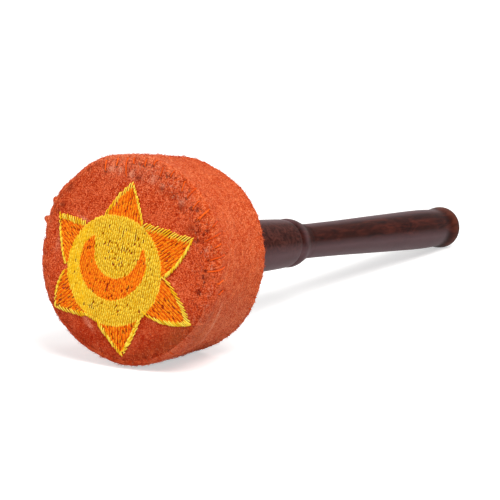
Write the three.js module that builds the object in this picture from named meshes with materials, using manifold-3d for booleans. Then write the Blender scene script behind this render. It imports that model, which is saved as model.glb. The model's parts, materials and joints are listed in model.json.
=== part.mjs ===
// A felt-headed mallet for striking singing bowls, lying at rest on the rear edge of its head and its knob.
// Millimetres, +Z up. The origin is on the surface it lies on, under the middle of its box.
// The head faces -Y and the handle runs towards +Y.

import * as THREE from 'three';
import { mergeVertices } from 'three/addons/utils/BufferGeometryUtils.js';
import Module from 'manifold-3d';

const wasm = await Module();
wasm.setup();

// Clearances
const seatGap = 0.3; // between pieces that touch
const cutOverrun = 2; // past a face that a cut goes through

// Head, outside
const headDiameter = 85; // widest, at the front sewn edge
const rearDiameter = 80.8; // widest, at the rear sewn edge
const edgeSpacing = 38.4; // from the front sewn edge to the rear one
const feltThickness = 3; // of the two discs and the side strip
const wallHollow = 0.9; // how far the side wall draws in between its edges
const shoulderWidth = 6; // the rounded border of each disc
const restFlatDepth = 0.5; // how far the felt is pressed flat where the head lies

// Head, inside
const wrapThickness = 4.6; // of the felt wound round the core
const padThickness = 5; // of the two discs of padding
const coreEdgeRounding = 2;

// Seam threads
const threadDiameter = 0.9;
const stitchCount = 48; // round each sewn edge
const stitchSink = 0.7; // the thread's middle under the felt's outline
const stitchSlantDegrees = 2.2; // each stitch leans this far round the edge
const seamSlitWidth = 1.5; // between the two ends of the side strip
const seamStitchCount = 9; // across the side strip's seam
const seamStitchReach = 4; // to each side of the slit
const seamSideDegrees = 262; // round the head from the top, on the side away from the view

// Handle
const tenonDiameter = 14;
const neckDiameter = 20; // where the handle goes into the head
const barrelDiameter = 22.7; // at its fullest
const grooveDiameter = 20.9;
const beadDiameter = 21.7;
const shaftDiameter = 15.5; // at its thinnest
const gripDiameter = 20; // the swell ahead of the knob
const knobDiameter = 20.9;
const buttDiameter = 9; // the flat at the very end
const neckLength = 14; // from the core's rear face
const barrelLength = 80.2;
const beadLength = 20;
const gripLength = 127;
const coveLength = 17.6;
const knobLength = 13.4;
const pilotDiameter = 4.6;
const pilotDepth = 20;

// Screw and washer that hold the core on the tenon
const screwDiameter = 4;
const screwHeadDiameter = 8;
const screwHeadHeight = 2.4;
const screwLength = 18; // under the head
const washerDiameter = 16;
const washerThickness = 1.2;
const tenonShyness = 1; // the tenon's end lies this far under the washer

// Embroidery
const embroideryThickness = 0.8;
const discDiameter = 44.6;
const discRightOfCentre = -5.1;
const discAboveCentre = -4.9;
const borderWidth = 2.2;

// Counts of flats
const headFacets = 48;
const handleFacets = 32;
const fastenerFacets = 20;
const threadSides = 4;

// Sizes that follow from these
const headRadius = headDiameter / 2;
const rearRadius = rearDiameter / 2;
const threadRadius = threadDiameter / 2;
const seamSlot = threadDiameter + 2 * seatGap;
const stitchRecess = stitchSink + threadRadius + seatGap;
const frontEdge = feltThickness; // places along the head, from the front face
const rearEdge = frontEdge + edgeSpacing;
const rearFace = rearEdge + feltThickness;
const stripStart = frontEdge + seamSlot;
const stripEnd = rearEdge - seamSlot;
const padFront = feltThickness + seatGap;
const coreFront = padFront + padThickness + seatGap;
const padRear = rearFace - feltThickness - seatGap - padThickness;
const coreRear = padRear - seatGap;
const coreDepth = coreRear - coreFront;
const counterboreDepth = screwHeadHeight + washerThickness + seatGap;
const washerFront = coreFront + counterboreDepth - washerThickness;
const tenonFront = washerFront + washerThickness + tenonShyness;

// The turned handle's outline, stretch by stretch. Each row is a share of the stretch's length and a share of
// the named radius of that stretch.
const barrelShares = [
  [0.1, 0.893], [0.28, 0.94], [0.48, 0.98], [0.66, 1],
  [0.8, 0.992], [0.92, 0.972], [0.98, 0.946],
];
const beadShares = [
  [0.12, 0.988], [0.2, 1], [0.3, 0.985], [0.44, 0.91],
  [0.58, 0.84], [0.72, 0.775], [0.86, 0.732],
];
const gripShares = [
  [0.07, 0.784], [0.2, 0.803], [0.33, 0.834], [0.46, 0.871],
  [0.6, 0.906], [0.73, 0.944], [0.87, 0.98],
];
const coveShares = [[0.5, 0.994], [0.8, 0.993]];
const knobShares = [[0.4, 0.97], [0.63, 0.99], [0.78, 1], [0.89, 0.965], [0.955, 0.84], [0.985, 0.68]];

// The six petals: tip and the two ends of the base as angles, how far the tip is out as a share of the disc's
// radius, and how far each side bows out as a share of its length.
const petals = [
  { tipDegrees: 78.4, footDegrees: [53.9, 108], reachShare: 1.64, bowShares: [0.02, 0.1] },
  { tipDegrees: 23.6, footDegrees: [-0.6, 52.6], reachShare: 1.755, bowShares: [0.07, 0.01] },
  { tipDegrees: -25.9, footDegrees: [-48, -2.2], reachShare: 1.82, bowShares: [0.1, 0.07] },
  { tipDegrees: -80.2, footDegrees: [-110.5, -50], reachShare: 1.55, bowShares: [0.03, 0.03] },
  { tipDegrees: -148, footDegrees: [-178.4, -113.4], reachShare: 1.47, bowShares: [0.1, 0.06] },
  { tipDegrees: 143.2, footDegrees: [125.6, 180.4], reachShare: 1.56, bowShares: [0.02, 0.04] },
];

// The crescent's two arcs, as shares of the disc's radius from the disc's middle
const crescentOuter = { rightShare: -0.02, upShare: 0.145, radiusShare: 0.685 };
const crescentInner = { rightShare: 0.046, upShare: 0.428, radiusShare: 0.562 };

// Materials
const material = (color, roughness, metalness = 0) =>
  new THREE.MeshStandardMaterial({ color, roughness, metalness });
const faceFelt = material(0xbe4628, 1);
const sideFelt = material(0xdf6440, 1);
const paddingFelt = material(0xd8cfbd, 1);
const seamThread = material(0xf0601c, 0.7);
const yellowThread = material(0xf5c823, 0.45);
const orangeThread = material(0xff7d00, 0.45);
const darkWood = material(0x46302a, 0.4);
const paleWood = material(0xc9a677, 0.7);
const zincSteel = material(0xb6b8ba, 0.35, 1);

// Solids

const { Manifold, Mesh: SolidMesh } = wasm;

function solidOf(geometry) {
  const bare = geometry.index ? geometry.toNonIndexed() : geometry.clone();
  bare.deleteAttribute('normal');
  bare.deleteAttribute('uv');
  const merged = mergeVertices(bare);
  return new Manifold(new SolidMesh({
    numProp: 3,
    vertProperties: Float32Array.from(merged.attributes.position.array),
    triVerts: Uint32Array.from(merged.index.array),
  }));
}

function geometryOf(solid) {
  const { vertProperties, triVerts } = solid.getMesh();
  const geometry = new THREE.BufferGeometry();
  geometry.setAttribute('position', new THREE.BufferAttribute(Float32Array.from(vertProperties), 3));
  geometry.setIndex(new THREE.BufferAttribute(Uint32Array.from(triVerts), 1));
  return geometry;
}

// A body turned about the mallet's axis, from rows of radius and place along the axis.
function turned(rows, facets) {
  const outline = rows.map(([radius, along]) => new THREE.Vector2(radius, along));
  return new THREE.LatheGeometry(outline, facets, Math.PI / facets);
}

// A washer-like body: the outline closes on itself.
function turnedRing(rows, facets) {
  return turned([...rows, rows[0]], facets);
}

function named(name, geometry, finish) {
  const mesh = new THREE.Mesh(geometry, finish);
  mesh.name = name;
  return mesh;
}

// A thread's run along a few points, with flat ends.
function threadRun(points, steps) {
  const corners = [];
  for (let i = 0; i < threadSides; i += 1) {
    const turn = (2 * Math.PI * i) / threadSides;
    corners.push(new THREE.Vector2(threadRadius * Math.cos(turn), threadRadius * Math.sin(turn)));
  }
  return new THREE.ExtrudeGeometry(new THREE.Shape(corners), {
    steps,
    bevelEnabled: false,
    extrudePath: new THREE.CatmullRomCurve3(points),
  });
}

// A point at a radius, a place along the axis and an angle round from the top.
function around(radius, along, turn) {
  return new THREE.Vector3(radius * Math.sin(turn), along, radius * Math.cos(turn));
}

// Outlines of the head

// The rounded border of a disc, from the edge of its flat (0) to its widest (1).
function shoulder(widest, sunk, share) {
  const turn = (share * Math.PI) / 2;
  return {
    radius: widest - shoulderWidth + (shoulderWidth - sunk) * Math.sin(turn),
    rise: sunk + (feltThickness - sunk) * (1 - Math.cos(turn)),
  };
}

// The side wall between its two sewn edges, drawn in at the middle.
function wallRadius(along) {
  const share = (along - frontEdge) / edgeSpacing;
  const straight = headRadius + (rearRadius - headRadius) * share;
  return straight - wallHollow * 4 * share * (1 - share);
}

// Rows of radius and place along the strip's outer face, from the front to the rear.
const stripSteps = 6;
const stripOutside = Array.from({ length: stripSteps + 1 }, (_, i) => {
  const along = stripStart + ((stripEnd - stripStart) * i) / stripSteps;
  return [wallRadius(along), along];
});

// What fits inside the strip: the padding's outside and the core's.
const paddingRadius = Math.min(...stripOutside.map(([radius]) => radius)) - feltThickness - seatGap;
const coreRadius = paddingRadius - wrapThickness - seatGap;

// How the mallet lies

const facetShare = Math.cos(Math.PI / handleFacets);
const knobLowest = (knobDiameter / 2) * facetShare;
const knobStart = coreRear + neckLength + barrelLength + beadLength + gripLength + coveLength;
const knobPeak = knobStart + knobLength * knobShares[2][0];

// The head lies on the one of its two edges that asks for the steeper tilt, pressed flat a little.
const [rest] = [stripOutside[0], stripOutside[stripSteps]]
  .map(([radius, along]) => ({ radius: radius - restFlatDepth, along }))
  .map((edge) => ({ ...edge, tilt: Math.atan2(edge.radius - knobLowest, knobPeak - edge.along) }))
  .sort((a, b) => b.tilt - a.tilt);
const tilt = rest.tilt;
const lift = rest.radius * Math.cos(tilt) + rest.along * Math.sin(tilt);
const lying = new THREE.Matrix4().makeTranslation(0, 0, lift)
  .multiply(new THREE.Matrix4().makeRotationX(-tilt));

// Everything under the surface that the mallet lies on, in the mallet's own frame.
function underSurface() {
  const block = new THREE.BoxGeometry(2 * headDiameter, 4 * headDiameter, headDiameter);
  block.translate(0, 0, -headDiameter / 2);
  block.applyMatrix4(lying.clone().invert());
  return solidOf(block);
}

// Handle

function stretch(shares, start, length, diameter) {
  const radius = diameter / 2;
  return shares.map(([alongShare, radiusShare]) => [radiusShare * radius, start + alongShare * length]);
}

function handle() {
  const barrelStart = coreRear + neckLength;
  const beadStart = barrelStart + barrelLength;
  const gripStart = beadStart + beadLength;
  const coveStart = gripStart + gripLength;
  const outline = [
    [0, tenonFront + pilotDepth],
    [pilotDiameter / 2, tenonFront + pilotDepth],
    [pilotDiameter / 2, tenonFront],
    [tenonDiameter / 2, tenonFront],
    [tenonDiameter / 2, coreRear + seatGap],
    [neckDiameter / 2, coreRear + seatGap],
    [neckDiameter / 2, barrelStart],
    ...stretch(barrelShares, barrelStart, barrelLength, barrelDiameter),
    [grooveDiameter / 2, beadStart],
    ...stretch(beadShares, beadStart, beadLength, beadDiameter),
    [shaftDiameter / 2, gripStart],
    ...stretch(gripShares, gripStart, gripLength, gripDiameter),
    [gripDiameter / 2, coveStart],
    ...stretch(coveShares, coveStart, coveLength, gripDiameter),
    ...stretch(knobShares, knobStart, knobLength, knobDiameter),
    [buttDiameter / 2, knobStart + knobLength],
    [0, knobStart + knobLength],
  ];
  return named('handle', turned(outline, handleFacets), darkWood);
}

// Core and its fixing

function headCore() {
  const bore = tenonDiameter / 2 + seatGap;
  const recess = washerDiameter / 2 + seatGap;
  const outline = [
    [recess, coreFront],
    [coreRadius - coreEdgeRounding, coreFront],
    [coreRadius, coreFront + coreEdgeRounding],
    [coreRadius, coreRear - coreEdgeRounding],
    [coreRadius - coreEdgeRounding, coreRear],
    [bore, coreRear],
    [bore, coreFront + counterboreDepth + seatGap],
    [recess, coreFront + counterboreDepth + seatGap],
  ];
  return named('head_core', turnedRing(outline, headFacets / 2), paleWood);
}

function coreWasher() {
  const hole = screwDiameter / 2 + seatGap;
  const outline = [
    [hole, washerFront],
    [washerDiameter / 2, washerFront],
    [washerDiameter / 2, washerFront + washerThickness],
    [hole, washerFront + washerThickness],
  ];
  return named('core_washer', turnedRing(outline, fastenerFacets), zincSteel);
}

function coreScrew() {
  const underHead = washerFront - seatGap;
  const outline = [
    [0, underHead - screwHeadHeight],
    [screwHeadDiameter / 4, underHead - screwHeadHeight],
    [screwHeadDiameter / 2, underHead - screwHeadHeight / 2],
    [screwHeadDiameter / 2, underHead],
    [screwDiameter / 2, underHead],
    [screwDiameter / 2, underHead + screwLength - screwDiameter],
    [0, underHead + screwLength],
  ];
  return named('core_screw', turned(outline, fastenerFacets), zincSteel);
}

// Padding

function padding() {
  const inner = coreRadius + seatGap;
  const outer = paddingRadius;
  const wrap = [[inner, coreFront], [outer, coreFront], [outer, coreRear], [inner, coreRear]];
  const front = [
    [0, padFront],
    [outer, padFront],
    [outer, padFront + padThickness],
    [0, padFront + padThickness],
  ];
  const hole = neckDiameter / 2 + seatGap;
  const rear = [
    [hole, padRear],
    [outer, padRear],
    [outer, padRear + padThickness],
    [hole, padRear + padThickness],
  ];
  return [
    named('padding_wrap', turnedRing(wrap, headFacets), paddingFelt),
    named('front_pad', turned(front, headFacets), paddingFelt),
    named('rear_pad', turnedRing(rear, headFacets), paddingFelt),
  ];
}

// Felt covers

const shoulderSteps = [0.3, 0.55, 0.8, 1];

function frontCover() {
  const rim = shoulderSteps.map((share) => {
    const { radius, rise } = shoulder(headRadius, stitchRecess, share);
    return [radius, rise];
  });
  const flat = headRadius - shoulderWidth;
  const outline = [
    [0, 0],
    [flat - threadDiameter, 0],
    [flat - threadDiameter, stitchRecess],
    [flat, stitchRecess],
    ...rim,
    [0, feltThickness],
  ];
  return named('front_cover', turned(outline, headFacets), faceFelt);
}

function rearCover() {
  const rim = shoulderSteps.map((share) => {
    const { radius, rise } = shoulder(rearRadius, stitchRecess, share);
    return [radius, rearFace - rise];
  });
  const flat = rearRadius - shoulderWidth;
  const hole = neckDiameter / 2 + seatGap;
  const outline = [
    [hole, rearEdge],
    ...rim.reverse(),
    [flat, rearFace - stitchRecess],
    [flat - threadDiameter, rearFace - stitchRecess],
    [flat - threadDiameter, rearFace],
    [hole, rearFace],
  ];
  const solid = solidOf(turnedRing(outline, headFacets)).subtract(underSurface());
  return named('rear_cover', geometryOf(solid), faceFelt);
}

const seamTurn = THREE.MathUtils.degToRad(seamSideDegrees);

function sideCover() {
  const inside = stripOutside.map(([radius, along]) => [radius - feltThickness, along]);
  let solid = solidOf(turnedRing([...stripOutside, ...inside.reverse()], headFacets));
  solid = solid.subtract(underSurface());
  const slit = new THREE.BoxGeometry(seamSlitWidth, edgeSpacing + cutOverrun, headDiameter);
  const gauge = new THREE.BoxGeometry(2 * (seamStitchReach + threadDiameter), edgeSpacing, headDiameter);
  const floor = stripOutside.map(([radius, along]) => [radius - stitchRecess, along]);
  const over = stripOutside.map(([radius, along]) => [radius + cutOverrun, along]);
  for (const box of [slit, gauge]) {
    box.translate(0, (frontEdge + rearEdge) / 2, headDiameter / 2);
    box.rotateY(seamTurn);
  }
  const channel = solidOf(turnedRing([...over, ...floor.reverse()], headFacets)).intersect(solidOf(gauge));
  solid = solid.subtract(solidOf(slit)).subtract(channel);
  return named('side_cover', geometryOf(solid), sideFelt);
}

// Seam threads

// One thread round a sewn edge: a strand in the slot between the two felts, and a stitch over the disc's
// border at each step round.
function edgeThread(name, widest, strandAlong, riseToAlong) {
  const strandRadius = widest - stitchRecess - threadDiameter;
  const strand = new THREE.TorusGeometry(strandRadius, threadRadius, threadSides, headFacets);
  strand.rotateX(Math.PI / 2);
  strand.translate(0, strandAlong, 0);
  const slant = THREE.MathUtils.degToRad(stitchSlantDegrees);
  const overEdge = riseToAlong(feltThickness + threadRadius);
  const stitches = [];
  for (let i = 0; i < stitchCount; i += 1) {
    const turn = (2 * Math.PI * (i + 0.5)) / stitchCount;
    const points = [around(strandRadius, strandAlong, turn), around(widest - stitchSink, overEdge, turn)];
    for (const share of [0.8, 0.5, 0.1]) {
      const { radius, rise } = shoulder(widest, stitchSink, share);
      points.push(around(radius, riseToAlong(rise), turn + slant * (1 - share)));
    }
    stitches.push(solidOf(threadRun(points, 4)));
  }
  const solid = Manifold.union([solidOf(strand), ...stitches]).subtract(underSurface());
  return named(name, geometryOf(solid), seamThread);
}

// The thread that joins the side strip's two ends: a strand in the slit and stitches across it.
function sideSeamThread() {
  const sunk = stitchRecess - seatGap - threadRadius;
  const first = stripStart + seatGap + threadDiameter;
  const last = stripEnd - seatGap - threadDiameter;
  const onWall = (side, along) => new THREE.Vector3(side * seamStitchReach, along, wallRadius(along) - sunk);
  const strand = [];
  for (let i = 0; i <= stripSteps; i += 1) {
    strand.push(onWall(0, first + ((last - first) * i) / stripSteps));
  }
  const solids = [solidOf(threadRun(strand, stripSteps))];
  for (let i = 0; i < seamStitchCount; i += 1) {
    const along = first + ((last - first) * (i + 0.5)) / seamStitchCount;
    const across = [onWall(-1, along - threadDiameter), onWall(1, along + threadDiameter)];
    solids.push(solidOf(threadRun(across, 1)));
  }
  const geometry = geometryOf(Manifold.union(solids));
  geometry.rotateY(seamTurn);
  return named('side_seam_thread', geometry, seamThread);
}

// Embroidery, drawn flat with right as x and up as y

const discRadius = discDiameter / 2;
const discMiddle = new THREE.Vector2(discRightOfCentre, discAboveCentre);

function onDisc(radius, degrees) {
  const turn = THREE.MathUtils.degToRad(degrees);
  return discMiddle.clone().add(new THREE.Vector2(radius * Math.cos(turn), radius * Math.sin(turn)));
}

// A side from one corner to the next, bowed outwards.
function bowedSide(start, end, bowShare) {
  const across = end.clone().sub(start);
  const outwards = new THREE.Vector2(across.y, -across.x).multiplyScalar(bowShare * 2);
  const control = start.clone().add(end).multiplyScalar(0.5).add(outwards);
  return new THREE.QuadraticBezierCurve(start, control, end);
}

// A petal's two sides, from the disc up to the tip and down to the disc.
function petalSides(petal) {
  const foot = discRadius + seatGap;
  const corners = [
    onDisc(foot, petal.footDegrees[0]),
    onDisc(petal.reachShare * discRadius, petal.tipDegrees),
    onDisc(foot, petal.footDegrees[1]),
  ];
  return petal.bowShares.map((bowShare, i) => bowedSide(corners[i], corners[i + 1], bowShare));
}

// The angle round the disc that a side's foot moves by when the side is drawn in by a margin.
function footShift(foot, control, margin) {
  const out = foot.clone().sub(discMiddle);
  const along = control.clone().sub(foot).normalize();
  const leaning = Math.abs(along.dot(out.clone().normalize()));
  return margin / (leaning * out.length());
}

// The same two sides, drawn in by a margin.
function insetSides(petal, margin) {
  const foot = discRadius + seatGap;
  const [rise, fall] = petalSides(petal);
  const toRise = rise.v1.clone().sub(rise.v2).normalize();
  const toFall = fall.v1.clone().sub(fall.v0).normalize();
  const halfTip = Math.acos(toRise.dot(toFall)) / 2;
  const tip = rise.v2.clone().add(toRise.add(toFall).setLength(margin / Math.sin(halfTip)));
  const from = petal.footDegrees[0] + THREE.MathUtils.radToDeg(footShift(rise.v0, rise.v1, margin));
  const to = petal.footDegrees[1] - THREE.MathUtils.radToDeg(footShift(fall.v2, fall.v1, margin));
  return [
    bowedSide(onDisc(foot, from), tip, petal.bowShares[0]),
    bowedSide(tip, onDisc(foot, to), petal.bowShares[1]),
  ];
}

// Points round the disc's edge, between a petal's two feet, from the second back to the first.
function baseArc(second, first) {
  const start = second.clone().sub(discMiddle).angle();
  const sweep = THREE.MathUtils.euclideanModulo(start - first.clone().sub(discMiddle).angle(), 2 * Math.PI);
  const steps = 6;
  const arc = [];
  for (let i = 1; i < steps; i += 1) {
    arc.push(onDisc(discRadius + seatGap, THREE.MathUtils.radToDeg(start - (sweep * i) / steps)));
  }
  return arc;
}

function embroidered(name, shape, finish) {
  const geometry = new THREE.ExtrudeGeometry(shape, {
    depth: embroideryThickness,
    bevelEnabled: false,
    curveSegments: 20,
  });
  geometry.rotateX(Math.PI / 2);
  geometry.translate(0, -seatGap, 0);
  return named(name, geometry, finish);
}

function petalPieces(petal, number) {
  const points = (sides) => sides.map((side) => side.getPoints(5));
  const [rise, fall] = points(petalSides(petal));
  const [innerRise, innerFall] = points(insetSides(petal, borderWidth));
  const [fillRise, fillFall] = points(insetSides(petal, borderWidth + seatGap));
  const border = new THREE.Shape([
    ...rise,
    ...fall.slice(1),
    ...innerFall.slice().reverse(),
    ...innerRise.slice(0, -1).reverse(),
  ]);
  const fill = new THREE.Shape([
    ...fillRise,
    ...fillFall.slice(1),
    ...baseArc(fillFall[fillFall.length - 1], fillRise[0]),
  ]);
  return [
    embroidered(`petal_border_${number}`, border, yellowThread),
    embroidered(`petal_fill_${number}`, fill, orangeThread),
  ];
}

// The crescent's outline, drawn in by a margin: round its outer arc and back along its inner one.
function crescentPoints(margin) {
  const placed = ({ rightShare, upShare }) =>
    discMiddle.clone().add(new THREE.Vector2(rightShare, upShare).multiplyScalar(discRadius));
  const outerMiddle = placed(crescentOuter);
  const innerMiddle = placed(crescentInner);
  const outerRadius = crescentOuter.radiusShare * discRadius - margin;
  const innerRadius = crescentInner.radiusShare * discRadius + margin;
  const between = innerMiddle.clone().sub(outerMiddle);
  const apart = between.length();
  const along = (apart ** 2 + outerRadius ** 2 - innerRadius ** 2) / (2 * apart);
  const outerHalf = Math.acos(along / outerRadius);
  const innerHalf = Math.acos((along - apart) / innerRadius);
  const facing = between.angle();
  const arc = (middle, radius, from, to, steps) => {
    const points = [];
    for (let i = 0; i < steps; i += 1) {
      const turn = from + ((to - from) * i) / steps;
      points.push(middle.clone().add(new THREE.Vector2(radius * Math.cos(turn), radius * Math.sin(turn))));
    }
    return points;
  };
  const round = 2 * Math.PI;
  return [
    ...arc(outerMiddle, outerRadius, facing + outerHalf, facing + round - outerHalf, 22),
    ...arc(innerMiddle, innerRadius, facing + round - innerHalf, facing + innerHalf, 18),
  ];
}

function embroideredDisc() {
  const shape = new THREE.Shape().absarc(discMiddle.x, discMiddle.y, discRadius, 0, 2 * Math.PI, false);
  shape.holes.push(new THREE.Path(crescentPoints(0)));
  return embroidered('embroidered_disc', shape, yellowThread);
}

function crescent() {
  return embroidered('crescent', new THREE.Shape(crescentPoints(seatGap)), orangeThread);
}

// Assembly

const mallet = new THREE.Group();
mallet.add(
  handle(),
  headCore(),
  coreWasher(),
  coreScrew(),
  ...padding(),
  frontCover(),
  sideCover(),
  rearCover(),
  edgeThread('front_edge_thread', headRadius, frontEdge + seamSlot / 2, (rise) => rise),
  edgeThread('rear_edge_thread', rearRadius, rearEdge - seamSlot / 2, (rise) => rearFace - rise),
  sideSeamThread(),
  embroideredDisc(),
  crescent(),
);
petals.forEach((petal, i) => mallet.add(...petalPieces(petal, i + 1)));
mallet.rotation.x = -tilt;
mallet.position.z = lift;

const part = new THREE.Group();
part.add(mallet);
part.updateMatrixWorld(true);
const middle = new THREE.Box3().setFromObject(part, true).getCenter(new THREE.Vector3());
part.position.set(-middle.x, -middle.y, 0);

export default part;
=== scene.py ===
import json
import math
import random
import bpy
from mathutils import Matrix, Quaternion, Vector, geometry, noise


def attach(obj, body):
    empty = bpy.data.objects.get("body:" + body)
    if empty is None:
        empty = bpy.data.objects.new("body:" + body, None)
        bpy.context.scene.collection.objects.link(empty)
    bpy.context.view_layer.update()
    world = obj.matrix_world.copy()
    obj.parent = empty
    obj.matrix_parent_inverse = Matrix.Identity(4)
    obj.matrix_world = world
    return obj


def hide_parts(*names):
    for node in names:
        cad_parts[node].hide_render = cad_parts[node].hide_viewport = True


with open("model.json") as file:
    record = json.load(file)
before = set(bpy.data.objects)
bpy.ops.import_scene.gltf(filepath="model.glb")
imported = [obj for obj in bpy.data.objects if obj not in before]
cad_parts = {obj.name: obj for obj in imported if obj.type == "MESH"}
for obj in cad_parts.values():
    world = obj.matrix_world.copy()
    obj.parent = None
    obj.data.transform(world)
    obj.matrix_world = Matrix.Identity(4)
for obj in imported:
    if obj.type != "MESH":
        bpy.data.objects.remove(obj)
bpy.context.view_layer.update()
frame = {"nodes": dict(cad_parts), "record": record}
bpy.ops.object.select_all(action="DESELECT")
print("frame loaded")

mm = 0.001
malletLength = 308  # in millimetres, along the axis

# The mallet's own frame: right, along the axis from the face to the butt, and up in the face. Pieces are
# shaped in millimetres in this frame and then laid down as the CAD lies.
buttMount = next(m for m in frame["record"]["mounts"] if m["name"] == "butt_end")
malletAxis = Vector(buttMount["axis"]).normalized()
faceRight = Vector((1, 0, 0))
faceUp = faceRight.cross(malletAxis)
faceCentre = Vector(buttMount["pos_m"]) - malletAxis * malletLength * mm
lying = Matrix.Translation(faceCentre) @ Matrix((faceRight, malletAxis, faceUp)).transposed().to_4x4()
malletFrame = lying @ Matrix.Scale(mm, 4)

# Camera and light

view = {
    "aim": Vector((0, 3, 0)),  # the middle of the head's widest circle at the front
    "from": Vector((0.42933, -0.65620, 0.15206)),  # camera's place from there, in metres
    "forward": Vector((-0.486563, 0.853589, -0.186124)),
    "lens": 144,
    "sensor": 36,
}


def setCamera():
    bpy.ops.object.camera_add(location=malletFrame @ view["aim"] + view["from"])
    camera = bpy.context.object
    camera.name = "camera"
    camera.rotation_euler = view["forward"].to_track_quat("-Z", "Y").to_euler()
    camera.data.lens = view["lens"]
    camera.data.sensor_width = view["sensor"]
    camera.data.clip_start = 0.01
    bpy.context.scene.camera = camera


studio = {
    "lamps": [
        # name, place, size, watts
        ("keyLamp", (0.62, -0.5, 1.05), 0.7, 15),
        ("fillLamp", (-0.8, -1.0, 0.6), 0.9, 6.5),
        ("backLamp", (0.3, 0.9, 1.0), 0.7, 5),
    ],
    "lampColour": (1, 0.985, 0.965),
    "aim": Vector((0, -0.05, 0.03)),
    "ambient": 0.27,
    "floorSize": 6,
    "glow": 0.55,  # how white the floor shows near the mallet, before the lamps' light on it
}


def setLamps():
    for name, place, size, watts in studio["lamps"]:
        bpy.ops.object.light_add(type="AREA", location=place)
        lamp = bpy.context.object
        lamp.name = name
        lamp.rotation_euler = (studio["aim"] - Vector(place)).to_track_quat("-Z", "Y").to_euler()
        lamp.data.size = size
        lamp.data.energy = watts
        lamp.data.color = studio["lampColour"]


# Small sums


def clamped(value):
    return min(1, max(0, value))


def fading(far, size, power=2):
    # 1 at no distance, about a third at the size, and soon nothing beyond it
    return math.exp(-((far / size) ** power))


# Shader building


def rgb(red, green, blue):
    straight = []
    for value in (red, green, blue):
        share = value / 255
        straight.append(share / 12.92 if share <= 0.04045 else ((share + 0.055) / 1.055) ** 2.4)
    return (*straight, 1)


class Wire:
    # a node's output; a sum, difference or product with it becomes a maths node
    def __init__(self, finish, socket):
        self.finish = finish
        self.socket = socket

    def maths(self, operation, first, second):
        return self.finish.add("ShaderNodeMath", {"operation": operation}, {0: first, 1: second})

    def __add__(self, other):
        return self.maths("ADD", self, other)

    def __radd__(self, other):
        return self.maths("ADD", other, self)

    def __sub__(self, other):
        return self.maths("SUBTRACT", self, other)

    def __rsub__(self, other):
        return self.maths("SUBTRACT", other, self)

    def __mul__(self, other):
        return self.maths("MULTIPLY", self, other)

    def __rmul__(self, other):
        return self.maths("MULTIPLY", other, self)


class Finish:
    def __init__(self, tree):
        self.tree = tree
        tree.nodes.clear()

    def add(self, kind, settings=None, inputs=None, output=0):
        node = self.tree.nodes.new(kind)
        for key, value in (settings or {}).items():
            if key == "stops":
                node.color_ramp.elements.remove(node.color_ramp.elements[0])
                for i, (place, colour) in enumerate(value):
                    stop = node.color_ramp.elements[0] if i == 0 else node.color_ramp.elements.new(place)
                    stop.position = place
                    stop.color = colour
            else:
                setattr(node, key, value)
        for key, value in (inputs or {}).items():
            if isinstance(value, Wire):
                self.tree.links.new(value.socket, node.inputs[key])
            else:
                node.inputs[key].default_value = value
        return Wire(self, node.outputs[output]) if node.outputs else None

    def blend(self, share, first, second):
        return self.add("ShaderNodeMix", {"data_type": "RGBA"}, {0: share, 6: first, 7: second}, 2)

    def layered(self, colour, *layers):
        # colours laid over the first one, each by its own share
        for share, over in layers:
            colour = self.blend(share, colour, over)
        return colour

    def ramp(self, value, *stops):
        return self.add("ShaderNodeValToRGB", {"stops": stops}, {0: value})

    def within(self, value, low, high):
        # 0 under low, 1 over high
        return self.add("ShaderNodeMapRange", {"interpolation_type": "SMOOTHSTEP"},
                        {"Value": value, "From Min": low, "From Max": high})

    def attribute(self, name):
        return self.add("ShaderNodeAttribute", {"attribute_name": name}, output="Fac")

    def place(self, stretch=(1, 1, 1)):
        # metres in the mallet's own frame, each direction multiplied
        coordinates = self.add("ShaderNodeTexCoord", output="Object")
        own = self.add("ShaderNodeMapping", {"vector_type": "TEXTURE"},
                       {"Vector": coordinates, "Location": faceCentre, "Rotation": lying.to_euler()})
        return self.add("ShaderNodeMapping", {"vector_type": "POINT"}, {"Vector": own, "Scale": stretch})

    def noise(self, where, size, detail=3, roughness=0.5, distortion=0):
        # size in millimetres of the largest features
        return self.add("ShaderNodeTexNoise", {}, {
            "Vector": where, "Scale": 1 / (size * mm), "Detail": detail, "Roughness": roughness,
            "Distortion": distortion})

    def bump(self, height, depth, strength=1):
        # depth in millimetres
        return self.add("ShaderNodeBump", {}, {"Height": height, "Distance": depth * mm, "Strength": strength})

    def rays(self, *kinds):
        # 1 for a ray of one of these kinds
        return sum(self.add("ShaderNodeLightPath", output=f"Is {kind} Ray") for kind in kinds)


def newFinish(name):
    material = bpy.data.materials.new(name)
    material.use_nodes = True
    return material, Finish(material.node_tree)


def surfaced(finish, **sockets):
    named = {key.replace("_", " "): value for key, value in sockets.items()}
    shader = finish.add("ShaderNodeBsdfPrincipled", {}, named)
    finish.add("ShaderNodeOutputMaterial", {}, {"Surface": shader})


# Finishes


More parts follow.
